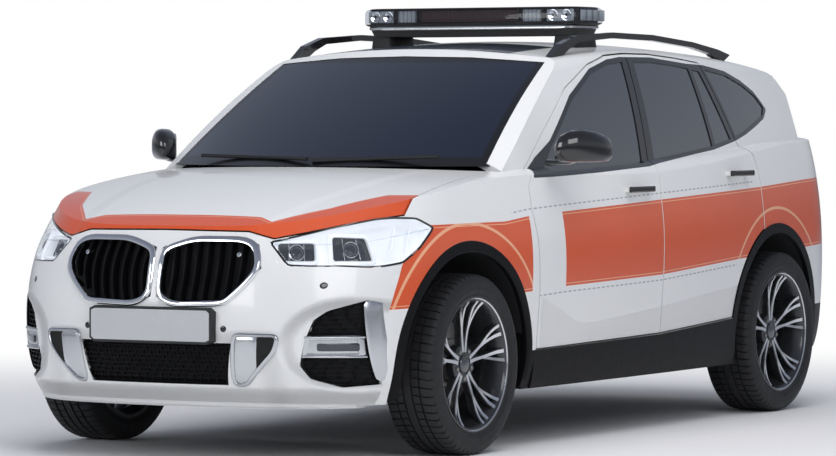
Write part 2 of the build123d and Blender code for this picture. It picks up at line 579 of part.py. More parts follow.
# ---------------------------------------------------------------- floor, bulkhead and wheel housings
floor = block(-900, 900, -960, 1180, FLOOR_Z, FLOOR_Z + FLOOR_THICKNESS)
floor = floor + block(-900, 900, -960, -945, FLOOR_Z, 1000)
floor = floor + block(-900, 900, 1165, 1180, FLOOR_Z, LOAD_FLOOR_Z) + block(-900, 900, 1165, 2090, LOAD_FLOOR_Z, LOAD_FLOOR_Z + 15)
tunnel = block(-120, 120, -945, 1165, FLOOR_Z, TUNNEL_TOP_Z) - block(-105, 105, -1000, 1200, 0, TUNNEL_TOP_Z - 15)
floor = (floor - block(-105, 105, -900, 1100, 0, 300)) + tunnel
floor = floor & BODY_VOID
for cut in (arch(ARCH_RADIUS + 9, FRONT_AXLE_Y), arch(ARCH_RADIUS + 9, REAR_AXLE_Y, REAR_HOUSING_X)):
    floor = floor - cut - flip(cut)
jack_pads = [block(x - 30, x + 30, y - 40, y + 40, JACK_Z, FLOOR_Z + 5) for x in (-JACK_X, JACK_X) for y in JACK_Y]
floor = biggest(biggest(floor) + jack_pads)
save("floor_pan", floor)

liners = []
strut_well = Pos(592, FRONT_AXLE_Y + 22, 780) * Cylinder(72, 400)
for y, inner_x in ((FRONT_AXLE_Y, FRONT_HOUSING_X), (REAR_AXLE_Y, REAR_HOUSING_X)):
    liner = arch(ARCH_RADIUS + 8, y, inner_x) - arch(ARCH_RADIUS, y, inner_x + 8)
    liners.append(biggest((liner & SKIN_IN & block(0, 1200, -3000, 3000, 440, 900)) - strut_well))
save("wheel_liners", *liners, *[flip(x) for x in liners])

engine = block(-330, 330, -1700, -1230, 330, 880)
radiator = block(-360, 360, -2010, -1960, 330, 780)
save("engine_block", engine, radiator)

# ---------------------------------------------------------------- wheels


def revolve_x(points_and_arcs):
    edges = []
    for piece in points_and_arcs:
        spots = [Vector(x, 0, r) for x, r in piece]
        edges.append(ThreePointArc(*spots) if len(spots) == 3 else Line(*spots))
    return Solid.revolve(Face(Wire(edges)), 360, Axis.X)


def tyre_shape():
    half_w, r = TYRE_WIDTH / 2, TYRE_RADIUS
    bead = RIM_RADIUS - 4
    return revolve_x([
        [(-half_w + 14, bead), (-half_w, r - 52), (-half_w + 9, r - 16)],
        [(-half_w + 9, r - 16), (-half_w + 14, r - 6), (-half_w + 28, r - 2)],
        [(-half_w + 28, r - 2), (0, r), (half_w - 28, r - 2)],
        [(half_w - 28, r - 2), (half_w - 14, r - 6), (half_w - 9, r - 16)],
        [(half_w - 9, r - 16), (half_w, r - 52), (half_w - 14, bead)],
        [(half_w - 14, bead), (half_w - 28, bead)],
        [(half_w - 28, bead), (half_w - 12, r - 52), (half_w - 24, r - 18)],
        [(half_w - 24, r - 18), (0, r - 12), (-half_w + 24, r - 18)],
        [(-half_w + 24, r - 18), (-half_w + 12, r - 52), (-half_w + 28, bead)],
        [(-half_w + 28, bead), (-half_w + 14, bead)],
    ])


SPOKE_PAIRS = 5
SPOKE_MAIN = [(9, 48), (24, 140), (34, 244)]
SPOKE_BRANCH = [(23, 132), (74, 236)]
DISH = [(24, 0), (54, 0), (53, 70), (58, 150), (72, 225), (86, 246), (60, 246), (34, 200), (26, 120)]


def spoke_leg(path, widths):
    """One leg of a spoke: a plate across the wheel's plane that follows a path and tapers."""
    left, right = [], []
    for i, ((y, z), width) in enumerate(zip(path, widths)):
        ahead, behind = path[min(i + 1, len(path) - 1)], path[max(i - 1, 0)]
        dy, dz = ahead[0] - behind[0], ahead[1] - behind[1]
        d = hypot(dy, dz)
        left.append(Vector(0, y - dz / d * width / 2, z + dy / d * width / 2))
        right.append(Vector(0, y + dz / d * width / 2, z - dy / d * width / 2))
    face = Face(Wire(Polyline(left + right[::-1], close=True).edges()))
    return Solid.extrude(face, Vector(100, 0, 0))


def wheel_shape():
    """Rim, double spokes, hub and brake disc, with the outer side towards +X."""
    w = TYRE_WIDTH / 2 - 8
    outline = [
        (-w, RIM_RADIUS + 12), (-w, RIM_RADIUS - 6), (-w + 24, RIM_RADIUS - 14), (-w + 44, 222), (w - 60, 222), (w - 34, 232),
        (w - 12, RIM_RADIUS - 10), (w, RIM_RADIUS), (w, RIM_RADIUS + 12), (w - 6, RIM_RADIUS + 12), (w - 6, RIM_RADIUS - 4),
        (w - 36, RIM_RADIUS - 4), (w - 44, 236), (w - 62, 229), (-w + 46, 229), (-w + 28, RIM_RADIUS - 4), (-w + 6, RIM_RADIUS - 4), (-w + 6, RIM_RADIUS + 12),
    ]
    rim = revolve_x([[a, b] for a, b in zip(outline, outline[1:] + outline[:1])])
    hub = cylinder_x(0, 0, 74, 20, 50) + cylinder_x(0, 0, 62, -40, 20) + cylinder_x(0, 0, DISC_RADIUS, -34, -12)
    legs = []
    for turn in range(SPOKE_PAIRS):
        for lean in (-1, 1):
            for path, widths in ((SPOKE_MAIN, (24, 20, 18)), (SPOKE_BRANCH, (17, 14, 14))):
                legs.append(Rot(72 * turn, 0, 0) * spoke_leg([(lean * y, z) for y, z in path], widths[:len(path)]))
    dish = revolve_x([[a, b] for a, b in zip(DISH, DISH[1:] + DISH[:1])])
    spokes = dish & (legs[0] + legs[1:])
    bolts = [Rot(72 * turn + 36, 0, 0) * cylinder_x(0, 56, 9, 50, 58) for turn in range(SPOKE_PAIRS)]
    cap = cylinder_x(0, 0, 33, 50, 60)
    return biggest(rim + hub + spokes + bolts + cap)


tyre, wheel = tyre_shape(), wheel_shape()
wheel = wheel - tyre
for end, y in (("front", FRONT_AXLE_Y), ("rear", REAR_AXLE_Y)):
    for hand, place in (("left", lambda s: Pos(TRACK_HALF, y, TYRE_RADIUS) * s), ("right", lambda s: flip(Pos(TRACK_HALF, y, TYRE_RADIUS) * s))):
        save(f"{end}_{hand}_tyre", place(tyre))
        save(f"{end}_{hand}_wheel", place(wheel))

# ---------------------------------------------------------------- knuckles and suspension


def knuckle_shape():
    """Hub carrier with its swivel pin and brake caliper, at the wheel's centre and with the outer side towards +X."""
    carrier = cylinder_x(0, 0, 58, -92, -46)
    pin = Pos(-81, 0, 10) * Cylinder(20, 240)
    caliper = block(-58, 8, -190, -120, -70, 70) - cylinder_x(0, 0, DISC_RADIUS + 8, -42, -4)
    bridge = block(-58, -46, -130, 0, -22, 22)
    return biggest(carrier + pin + caliper + bridge)


knuckle = knuckle_shape()
save("front_left_knuckle", Pos(TRACK_HALF, FRONT_AXLE_Y, TYRE_RADIUS) * knuckle)
save("front_right_knuckle", flip(Pos(TRACK_HALF, FRONT_AXLE_Y, TYRE_RADIUS) * knuckle))
rear_knuckle = Pos(TRACK_HALF, REAR_AXLE_Y, TYRE_RADIUS) * knuckle


def rod(a, b, radius):
    a, b = Vector(*a), Vector(*b)
    return Solid.make_cylinder(radius, (b - a).length, Plane(a, z_dir=b - a))


strut = rod((612, FRONT_AXLE_Y, 440), (596, FRONT_AXLE_Y + 20, 760), 26) + rod((598, FRONT_AXLE_Y + 16, 700), (588, FRONT_AXLE_Y + 28, 900), 62)
front_arm = plan_prism([(706, FRONT_AXLE_Y - 28), (706, FRONT_AXLE_Y + 28), (400, FRONT_AXLE_Y + 190), (340, FRONT_AXLE_Y + 190), (560, FRONT_AXLE_Y), (340, FRONT_AXLE_Y - 150), (400, FRONT_AXLE_Y - 150)], 196, 214)
front_subframe = block(-360, 360, FRONT_AXLE_Y - 170, FRONT_AXLE_Y + 210, 190, 230) - [block(x0, x0 + 220, FRONT_AXLE_Y - 90, FRONT_AXLE_Y + 130, 100, 300) for x0 in (-250, 30)]
front_carriers = front_subframe + front_arm + flip(front_arm)
rear_spring = rod((SPRING_X, REAR_AXLE_Y + 40, 262), (SPRING_X, REAR_AXLE_Y + 40, LOAD_FLOOR_Z), SPRING_RADIUS)
rear_damper = rod((DAMPER_X, REAR_AXLE_Y + 130, 262), (DAMPER_X, REAR_AXLE_Y + 130, LOAD_FLOOR_Z), DAMPER_RADIUS)
rear_arm = plan_prism([(655, REAR_AXLE_Y - 60), (655, REAR_AXLE_Y + 160), (520, REAR_AXLE_Y + 160), (300, REAR_AXLE_Y + 60), (300, REAR_AXLE_Y - 20), (540, REAR_AXLE_Y - 60)], 240, 262)
rear_subframe = block(-320, 320, REAR_AXLE_Y - 60, REAR_AXLE_Y + 110, 236, 300) - block(-220, 220, REAR_AXLE_Y - 10, REAR_AXLE_Y + 60, 200, 400)
rear_link = rod((640, REAR_AXLE_Y, TYRE_RADIUS), (TRACK_HALF - 60, REAR_AXLE_Y, TYRE_RADIUS), 30)
save("front_suspension", front_carriers, strut, flip(strut))
save("rear_suspension", rear_subframe + rear_arm + flip(rear_arm), rear_knuckle + rear_link, flip(rear_knuckle + rear_link))
save("rear_springs", rear_spring, flip(rear_spring), rear_damper, flip(rear_damper))
tailpipes = [rod((x, 1880, TAILPIPE_Z), (x, 2196, TAILPIPE_Z), TAILPIPE_RADIUS) - rod((x, 2100, TAILPIPE_Z), (x, 2300, TAILPIPE_Z), TAILPIPE_RADIUS - 3) for x in (-TAILPIPE_X, TAILPIPE_X)]
exhaust = fillet(cylinder_x(1880, TAILPIPE_Z + 24, 90, -330, 330).edges(), 20) + cylinder_x(1880, TAILPIPE_Z, 30, -TAILPIPE_X - 6, TAILPIPE_X + 6) + tailpipes + rod((-60, -900, 205), (-60, 1500, 205), 25) + rod((-60, 1500, 205), (-60, 1880, 300), 25) + Pos(-60, 1500, 205) * Sphere(25)
save("exhaust", exhaust)

# ---------------------------------------------------------------- cabin furniture
dash_profile = [(-944, 1000), (-760, 1052), (-600, 1030), (-540, 960), (-560, 860), (-680, 740), (-720, 560), (-944, 520)]
dashboard = fillet(side_prism(dash_profile, -700, 700).edges().filter_by(Axis.X), 14)
hood = side_prism([(-760, 1040), (-560, 1010), (-556, 1052), (-600, 1078), (-700, 1082)], 230, 510)
screen = block(-70, 170, -578, -562, 960, 1075)
console_profile = [(-760, TUNNEL_TOP_Z), (-760, 640), (-560, 600), (-200, 560), (160, 570), (190, 540), (190, TUNNEL_TOP_Z)]
dashboard = dashboard + [hood, screen, side_prism(console_profile, -100, 100)]
save("dashboard", dashboard)
ring = Pos(370, -420, 930) * Rot(-62, 0, 0) * Torus(180, 15)
column = rod((370, -640, 830), (370, -430, 925), 34)
spoke_bar = Pos(370, -420, 930) * Rot(-62, 0, 0) * (Box(350, 50, 16) + Pos(0, 0, 0) * Cylinder(60, 30))
save("steering_wheel", (ring + column + spoke_bar) - dashboard)


def seat_solids(x, width, y0, headrests):
    """Cushion and back with raised side bolsters, on a plinth that straddles the tunnel, and headrests on two posts."""
    cushion = Pos(x, y0 + 260, 545) * fillet(Box(width, 520, 130).edges(), 40)
    lean = Pos(x, y0 + 560, 860) * Rot(-14, 0, 0)
    back = lean * fillet(Box(width, 130, 620).edges(), 45)
    base = block(x - width / 2 + 60, x + width / 2 - 60, y0 + 60, y0 + 480, FLOOR_Z + FLOOR_THICKNESS, 500) - block(-125, 125, -2000, 2000, 0, TUNNEL_TOP_Z + 5)
    seat = cushion + back + base
    for side in (-1, 1):
        seat = seat + Pos(x + side * (width / 2 - 38), y0 + 230, 590) * fillet(Box(76, 400, 70).edges(), 30)
        seat = seat + lean * Pos(side * (width / 2 - 38), -48, -30) * fillet(Box(76, 90, 440).edges(), 34)
    for hx in headrests:
        seat = seat + Pos(hx, y0 + 660, 1235) * Rot(-10, 0, 0) * fillet(Box(250, 95, 170).edges(), 35)
        for dx in (-50, 50):
            seat = seat + rod((hx + dx, y0 + 640, 1120), (hx + dx, y0 + 655, 1200), 7)
    return seat


front_seat = seat_solids(370, 500, -330, [370])
rear_seat = seat_solids(0, 1180, 420, [-380, 0, 380])
save("front_seats", front_seat, flip(front_seat))
save("rear_seat", rear_seat)

# ---------------------------------------------------------------- roof rails and light bar
rail_path = [(-296, 1486), (-180, 1560), (-40, 1596), (270, 1612), (630, 1606), (1003, 1580), (1250, 1550), (1361, 1528)]
rail_outline = rail_path + [(1300, 1500), (1200, 1520), (1180, 1530), (1003, 1556), (630, 1582), (270, 1588), (-20, 1570), (-110, 1540), (-150, 1520), (-200, 1500)]
rail = side_prism(rail_outline, 586, 614) - OUTER
rail = biggest(rail)
save("roof_rails", rail, flip(rail))

bar_base = fillet(block(-500, 500, 150, 398, 1600, 1640).edges().filter_by(Axis.Z), 60)
bar_section = [(139, 1650), (139, 1690), (158, 1714), (186, 1719), (362, 1719), (390, 1714), (409, 1690), (409, 1650), (398, 1640), (150, 1640)]
bar_lens = side_prism(bar_section, -520, 520) & fillet(block(-520, 520, 139, 409, 1600, 1730).edges().filter_by(Axis.Z), 70)
seams = [block(x - 1.5, x + 1.5, 130, 420, 1652, 1730) - block(-600, 600, 144, 404, 1600, 1713) for x in (-405, -290, -175, 175, 290, 405)]
bar_lens = bar_lens - seams
bar_feet = block(-470, -400, 180, 370, 1540, 1600) + block(400, 470, 180, 370, 1540, 1600)
light_bar = (bar_base + bar_lens + bar_feet) - OUTER  # one housing on two feet that stand on the roof
save("light_bar", light_bar)

# ---------------------------------------------------------------- scuttle and wipers
scuttle = plan_prism([(700, -965), (700, -945), (-700, -945), (-700, -965), (-400, -1120), (0, -1180), (400, -1120)], 1000, 1012)
wipers = rod((60, -1190, 1100), (560, -1075, 1118), 7) + rod((-520, -1080, 1118), (40, -1195, 1108), 7)
save("wipers", scuttle, wipers - windscreen - bonnet)
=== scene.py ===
"""Looks of the police SUV: materials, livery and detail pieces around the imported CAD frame.

Metres, in the frame's axes: +Z up, -Y forward, +X to the vehicle's left. Outlines on the front and
the tail are (X, Z) points, and outlines and tables of the flanks go along Y.
"""

from math import copysign, cos, exp, hypot, pi, radians, sin, sqrt

import bmesh
import bpy
from mathutils import Matrix, Vector
from mathutils.bvhtree import BVHTree


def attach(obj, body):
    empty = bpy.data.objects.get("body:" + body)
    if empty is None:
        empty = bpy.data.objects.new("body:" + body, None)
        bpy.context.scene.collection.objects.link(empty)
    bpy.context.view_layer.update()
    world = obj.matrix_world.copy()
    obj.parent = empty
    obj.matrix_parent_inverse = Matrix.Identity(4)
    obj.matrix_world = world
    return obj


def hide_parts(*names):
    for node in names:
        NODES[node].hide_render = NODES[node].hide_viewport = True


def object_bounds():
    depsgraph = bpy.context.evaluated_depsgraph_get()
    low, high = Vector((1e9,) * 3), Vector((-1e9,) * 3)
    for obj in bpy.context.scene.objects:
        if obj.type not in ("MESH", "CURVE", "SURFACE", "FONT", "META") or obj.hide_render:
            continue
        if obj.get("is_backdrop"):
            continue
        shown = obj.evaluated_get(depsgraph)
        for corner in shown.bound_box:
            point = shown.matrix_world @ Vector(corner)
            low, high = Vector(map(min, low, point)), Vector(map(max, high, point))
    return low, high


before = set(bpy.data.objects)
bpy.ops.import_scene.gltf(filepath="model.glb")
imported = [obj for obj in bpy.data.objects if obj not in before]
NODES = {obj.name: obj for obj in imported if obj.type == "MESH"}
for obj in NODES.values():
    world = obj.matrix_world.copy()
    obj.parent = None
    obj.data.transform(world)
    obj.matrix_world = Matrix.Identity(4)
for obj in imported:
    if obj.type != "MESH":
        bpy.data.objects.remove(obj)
cad_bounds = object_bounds()

FRONT_AXLE_Y, REAR_AXLE_Y, TRACK, TYRE_R = -1.364, 1.306, 0.781, 0.342
ARCH_INNER, ARCH_OUTER = 0.4222, 0.4655  # radii of the front openings' black edging
TAG = {1: "left", -1: "right"}

# ---------------------------------------------------------------- shader helpers


class Tree:
    """The nodes of a material or of the world, built from the inputs towards the output."""

    def __init__(self, owner, output="OutputMaterial"):
        owner.use_nodes = True
        self.owner = owner
        self.tree = owner.node_tree
        self.tree.nodes.clear()
        self.output = self.tree.nodes.new("ShaderNode" + output)
        self.object_coords = None

    def add(self, kind, out=0, attrs=None, **inputs):
        """A node's output. An input is named with _ for a space, or by its number as _0."""
        node = self.tree.nodes.new("ShaderNode" + kind)
        for key, value in (attrs or {}).items():
            setattr(node, key, value)
        for key, value in inputs.items():
            self.put(node.inputs[int(key[1:]) if key[1:].isdigit() else key.replace("_", " ")], value)
        return node.outputs[out]

    def put(self, socket, value):
        if isinstance(value, bpy.types.NodeSocket):
            self.tree.links.new(value, socket)
        else:
            socket.default_value = value

    def coords(self):
        if self.object_coords is None:
            self.object_coords = self.add("TexCoord", out=3)
        return self.object_coords

    def split(self, vector):
        return self.add("SeparateXYZ", _0=vector).node.outputs

    def math(self, operation, a, b=0.0, clamp=False):
        return self.add("Math", attrs={"operation": operation, "use_clamp": clamp}, _0=a, _1=b)

    def plus(self, a, b):
        return self.math("ADD", a, b)

    def minus(self, a, b):
        return self.math("SUBTRACT", a, b)

    def times(self, first, *others):
        for value in others:
            first = self.math("MULTIPLY", first, value)
        return first

    def either(self, first, *others):
        for value in others:
            first = self.math("MAXIMUM", first, value)
        return first

    def length(self, a, b):
        return self.math("SQRT", self.plus(self.times(a, a), self.times(b, b)))

    def size(self, value):
        return self.math("ABSOLUTE", value)

    def above(self, value, edge, soft=0.0012):
        """1 where the value is over the edge, 0 where it is under."""
        return self.math("MULTIPLY", self.plus(self.minus(value, edge), soft / 2), 1 / soft, clamp=True)

    def below(self, value, edge, soft=0.0012):
        return self.minus(1.0, self.above(value, edge, soft))

    def between(self, value, low, high):
        return self.times(self.above(value, low), self.below(value, high))

    def near(self, value, middle, half):
        return self.below(self.size(self.minus(value, middle)), half)

    def table(self, value, rows):
        """A value that follows straight lines between the (place, height) rows."""
        low, high = rows[0][0], rows[-1][0]
        lift = 3.0  # keeps the ramp's levels positive
        share = self.math("MULTIPLY", self.minus(value, low), 1 / (high - low), clamp=True)
        levels = [((place - low) / (high - low), (height + lift,) * 3) for place, height in rows]
        return self.minus(self.add("SeparateColor", _0=self.ramp(share, levels)), lift)

    def ramp(self, value, stops):
        """A colour that follows the (place, colour) stops."""
        color = self.add("ValToRGB", _0=value)
        elements = color.node.color_ramp.elements
        for index, (place, level) in enumerate(stops):
            stop = elements[index] if index < 2 else elements.new(1.0)
            stop.position = place
            stop.color = (*level, 1)
        return color

    def slope(self, value, start, end, low, high):
        """A smooth step from low at the start to high at the end."""
        limits = dict(From_Min=start, From_Max=end, To_Min=low, To_Max=high)
        return self.add("MapRange", attrs={"interpolation_type": "SMOOTHSTEP"}, Value=value, **limits)

    def mix(self, factor, a, b):
        a, b = ((*color, 1) if isinstance(color, tuple) else color for color in (a, b))
        return self.add("Mix", out=2, attrs={"data_type": "RGBA"}, _0=factor, _6=a, _7=b)

    def noise(self, scale, detail):
        return self.add("TexNoise", Vector=self.coords(), Scale=scale, Detail=detail)

    def spread(self, value, low, high):
        return self.add("MapRange", Value=value, To_Min=low, To_Max=high)

    def principled(
        self, color, rough, metal=0.0, coat=0.0, bump=0.0, bump_scale=900.0, spec=0.5,
        glow=None, grain=14.0, vary=0.06, relief=None,
    ):
        """A surface with a slightly uneven colour and roughness, a fine bump and a relief in metres."""
        tone = self.spread(self.noise(grain, 4.0), 1 - vary, 1 + vary)
        shade = self.add("VectorMath", attrs={"operation": "SCALE"}, _0=color, Scale=tone)
        if isinstance(rough, float):
            rough = self.spread(self.noise(grain * 2.7, 2.0), rough * 0.85, rough * 1.2)
        surface = self.add(
            "BsdfPrincipled", Base_Color=shade, Roughness=rough, Metallic=metal, Coat_Weight=coat,
            Coat_Roughness=0.03, Specular_IOR_Level=spec,
        )
        inputs = surface.node.inputs
        if bump:
            height = self.noise(bump_scale, 2.0)
            normal = self.add("Bump", Strength=bump, Distance=0.0006, Height=height)
            if relief is not None:
                normal = self.add("Bump", Strength=1.0, Distance=1.0, Height=relief, Normal=normal)
            self.put(inputs["Normal"], normal)
        if glow:
            color, strength = glow
            inputs["Emission Color"].default_value = (*color, 1)
            inputs["Emission Strength"].default_value = strength
        return surface

    def finish(self, shader):
        self.tree.links.new(shader, self.output.inputs[0])
        return self.owner


def new_material(name):
    return Tree(bpy.data.materials.new(name))


# ---------------------------------------------------------------- livery
WHITE, ORANGE, BEIGE = (0.80, 0.80, 0.79), (0.68, 0.088, 0.018), (0.86, 0.42, 0.24)
GREY_LINE, TRIM_BLACK, ROOF_GLASS = (0.36, 0.38, 0.42), (0.010, 0.010, 0.011), (0.02, 0.028, 0.045)
# along Y: the edges of the orange band, of the black window surround and the crease low on the doors
BAND_TOP = [
    (-2.3, 0.870), (-1.093, 0.873), (-0.92, 0.889), (-0.673, 0.900), (0.124, 0.929), (1.132, 0.963),
    (1.626, 0.986), (2.3, 1.01),
]
BAND_BOTTOM = [
    (-2.3, 0.566), (-1.822, 0.567), (-0.981, 0.598), (-0.66, 0.611), (0.138, 0.627), (0.863, 0.665),
    (1.627, 0.695), (2.3, 0.720),
]
BELT_TRIM = [
    (-0.82, 1.034), (-0.668, 1.036), (-0.30, 1.047), (0.15, 1.065), (0.262, 1.077), (0.60, 1.105),
    (0.84, 1.125), (1.036, 1.153), (1.098, 1.163), (1.206, 1.185), (1.332, 1.217), (1.460, 1.253),
    (1.520, 1.292),
]
TOP_TRIM = [
    (-0.82, 1.040), (-0.70, 1.110), (-0.552, 1.176), (-0.296, 1.354), (-0.060, 1.461), (0.120, 1.500),
    (0.246, 1.511), (0.520, 1.511), (0.840, 1.487), (1.0, 1.482), (1.200, 1.458), (1.336, 1.418),
    (1.440, 1.372), (1.494, 1.322), (1.520, 1.292),
]
DOOR_CREASE = [
    (-0.84, 0.575), (-0.72, 0.535), (-0.58, 0.475), (-0.50, 0.460), (-0.40, 0.460), (0.17, 0.500),
    (0.87, 0.555), (1.02, 0.567),
]
# along X: the rear edge of the bonnet's orange; along Y: the half width between its creases
BONNET_EDGE = [
    (0.0, -2.022), (0.345, -2.014), (0.413, -2.050), (0.553, -1.869), (0.666, -1.638), (0.783, -1.582),
    (0.9, -1.57),
]
CREASE = [(-2.3, 0.405), (-2.05, 0.440), (-1.60, 0.520), (-1.20, 0.560), (-0.8, 0.580)]
HANDLES = [(-0.031, 0.976, 0.897), (0.913, 1.026, 0.885)]  # Y and Z of the middle, least X
FLANK_X, FLANK_END_Y = 0.80, 1.865
BLANK_PANEL = (-0.916, -0.662)
ARC_RADIUS, HEM = 0.530, 0.010
DASHES_PER_METRE = 26.0


def flank_livery(t, x, y, z):
    """An orange band with wheel arcs, hems and dashes, the black window surround and the handles."""
    wide = t.size(x)
    top, bottom = t.table(y, BAND_TOP), t.table(y, BAND_BOTTOM)
    facing = t.split(t.add("TexCoord", out=1))[0]
    outside = t.above(t.times(facing, x), 0.05, 0.1)
    skin = t.times(t.above(wide, FLANK_X), t.below(y, FLANK_END_Y), outside)
    band = t.times(t.above(z, bottom), t.below(z, top), skin)
    orange = t.times(band, t.minus(1.0, t.between(y, *BLANK_PANEL)))
    reaches = [t.length(t.minus(y, axle), t.minus(z, TYRE_R)) for axle in (FRONT_AXLE_Y, REAR_AXLE_Y)]
    arcs = [t.near(reach, ARC_RADIUS, 0.006) for reach in reaches]
    hems = [t.near(z, t.minus(top, HEM), 0.0016), t.near(z, t.plus(bottom, HEM), 0.0016)]
    dash = t.above(t.math("FRACT", t.times(y, DASHES_PER_METRE)), 0.36, 0.02)
    upper = t.times(t.near(z, t.plus(top, 0.026), 0.0026), t.between(y, -1.04, 1.08))
    lower = t.times(t.near(z, t.minus(bottom, 0.022), 0.0026), t.between(y, -0.86, 0.863))
    color = t.mix(orange, WHITE, ORANGE)
    color = t.mix(t.times(orange, t.either(*arcs, *hems)), color, BEIGE)
    color = t.mix(t.times(t.either(upper, lower), dash, skin), color, GREY_LINE)

    surround = t.times(t.above(z, t.table(y, BELT_TRIM)), t.below(z, t.table(y, TOP_TRIM)))
    surround = t.times(surround, t.between(y, -0.815, 1.515), t.above(wide, 0.5))
    grips = [
        t.times(t.near(y, grip_y, 0.103), t.near(z, grip_z, 0.0135), t.above(wide, least_x))
        for grip_y, grip_z, least_x in HANDLES
    ]
    well = t.times(t.below(reaches[0], ARCH_OUTER), t.below(z, 0.9))
    black = t.either(surround, well, *grips)

    drop = t.math("MAXIMUM", t.minus(t.table(y, DOOR_CREASE), z), 0.0)
    doors = t.times(t.above(wide, FLANK_X), t.between(y, -0.84, 1.02))
    return color, black, t.times(drop, -0.42, doors)


def bonnet_livery(t, x, y, z):
    """Orange along the bonnet's front edge, and two creases that fall off outwards."""
    wide = t.size(x)
    edge = t.table(wide, BONNET_EDGE)
    orange = t.times(t.below(y, edge), t.above(z, 0.80))
    hem = t.times(orange, t.near(y, t.minus(edge, 0.014), 0.0018))
    color = t.mix(hem, t.mix(orange, WHITE, ORANGE), BEIGE)
    inward = t.minus(wide, t.table(y, CREASE))
    rise = t.times(t.math("MINIMUM", t.either(inward, -0.055), 0.0), -0.11)
    return color, None, t.times(rise, t.below(y, -1.15, 0.25))


def roof_livery(t, x, y, z):
    """A dark glass panel in the white roof."""
    glass = t.times(t.between(y, -0.30, 0.10), t.below(t.size(x), 0.44))
    return t.mix(glass, WHITE, ROOF_GLASS), None, None


def front_livery(t, x, y, z):
    """The hollows round the side intakes, the chin and the brow above the centre intake."""
    wide = t.size(x)
    across = t.math("DIVIDE", t.minus(wide, 0.725), 0.165)
    upward = t.math("DIVIDE", t.minus(z, 0.440), 0.130)
    hollow = t.slope(t.length(across, upward), 0.95, 1.40, -0.050, 0.0)
    chin = t.slope(z, 0.200, 0.290, -0.085, 0.0)
    brow = t.times(t.slope(z, 0.415, 0.500, -0.050, 0.0), t.slope(wide, 0.42, 0.54, 1.0, 0.0))
    return WHITE, None, t.plus(t.plus(hollow, chin), brow)


def paint(name, livery=None):
    """Clear-coated paint. A livery gives its colour, its black areas and its relief."""
    t = new_material(name)
    color, black, relief = livery(t, *t.split(t.coords())) if livery else (WHITE, None, None)
    rough = t.spread(t.noise(2600.0, 1.0), 0.24, 0.34)
    if black is not None:
        color = t.mix(black, color, TRIM_BLACK)
        rough = t.times(rough, t.minus(1.0, t.times(black, 0.45)))
    look = dict(coat=0.6, vary=0.015, grain=2.0, bump=0.02, bump_scale=260.0)
    return t.finish(t.principled(color, rough, relief=relief, **look))


# ---------------------------------------------------------------- other materials
def tail_lens():
    """Red lamp cover with brighter light guides."""
    t = new_material("red_lens")
    x, y, z = t.split(t.coords())
    wide = t.size(x)
    guides = t.times(t.either(t.near(z, 0.968, 0.005), t.near(z, 0.935, 0.004)), t.above(wide, 0.50))
    upright = t.times(t.near(wide, 0.800, 0.006), t.between(z, 0.872, 0.968))
    ribs = t.times(t.above(t.math("FRACT", t.times(wide, 60.0)), 0.5, 0.1), 0.25)
    color = t.mix(t.either(guides, upright, ribs), (0.26, 0.004, 0.007), (0.85, 0.05, 0.05))
    return t.finish(t.principled(color, 0.12, coat=1.0, glow=((0.5, 0.01, 0.01), 0.12)))


def plain(name, color, rough, **look):
    t = new_material(name)
    return t.finish(t.principled(color, rough, **look))


def tinted(name, tint, body, share, shine=0.04, rim=0.6, border=False):
    """Tinted glass: a dim view through it, clear reflections and a printed border if asked for."""
    t = new_material(name)
    wave = t.noise(3.0, 1.0)
    through = t.add("BsdfTransparent", Color=(*tint, 1))
    solid = t.add("BsdfPrincipled", Base_Color=(*body, 1), Roughness=t.spread(wave, 0.015, 0.035))
    base = t.add("MixShader", _0=share, _1=through, _2=solid)
    if border:
        x, y, z = t.split(t.coords())
        sides = t.above(t.size(x), t.table(z, [(1.05, 0.691), (1.5, 0.583)]), 0.004)
        printed = t.either(sides, t.above(z, 1.487, 0.01), t.below(z, 1.115, 0.01))
        ink = t.add("BsdfPrincipled", Base_Color=(0.004, 0.004, 0.005, 1), Roughness=0.3)
        base = t.add("MixShader", _0=printed, _1=base, _2=ink)
    gloss = t.add("BsdfGlossy", Color=(1, 1, 1, 1), Roughness=t.spread(wave, 0.01, 0.02))
    facing = t.add("LayerWeight", out=1, Blend=0.5)
    mirror_share = t.plus(t.times(t.math("POWER", facing, 5.0), rim), shine)
    return t.finish(t.add("MixShader", _0=mirror_share, _1=base, _2=gloss))


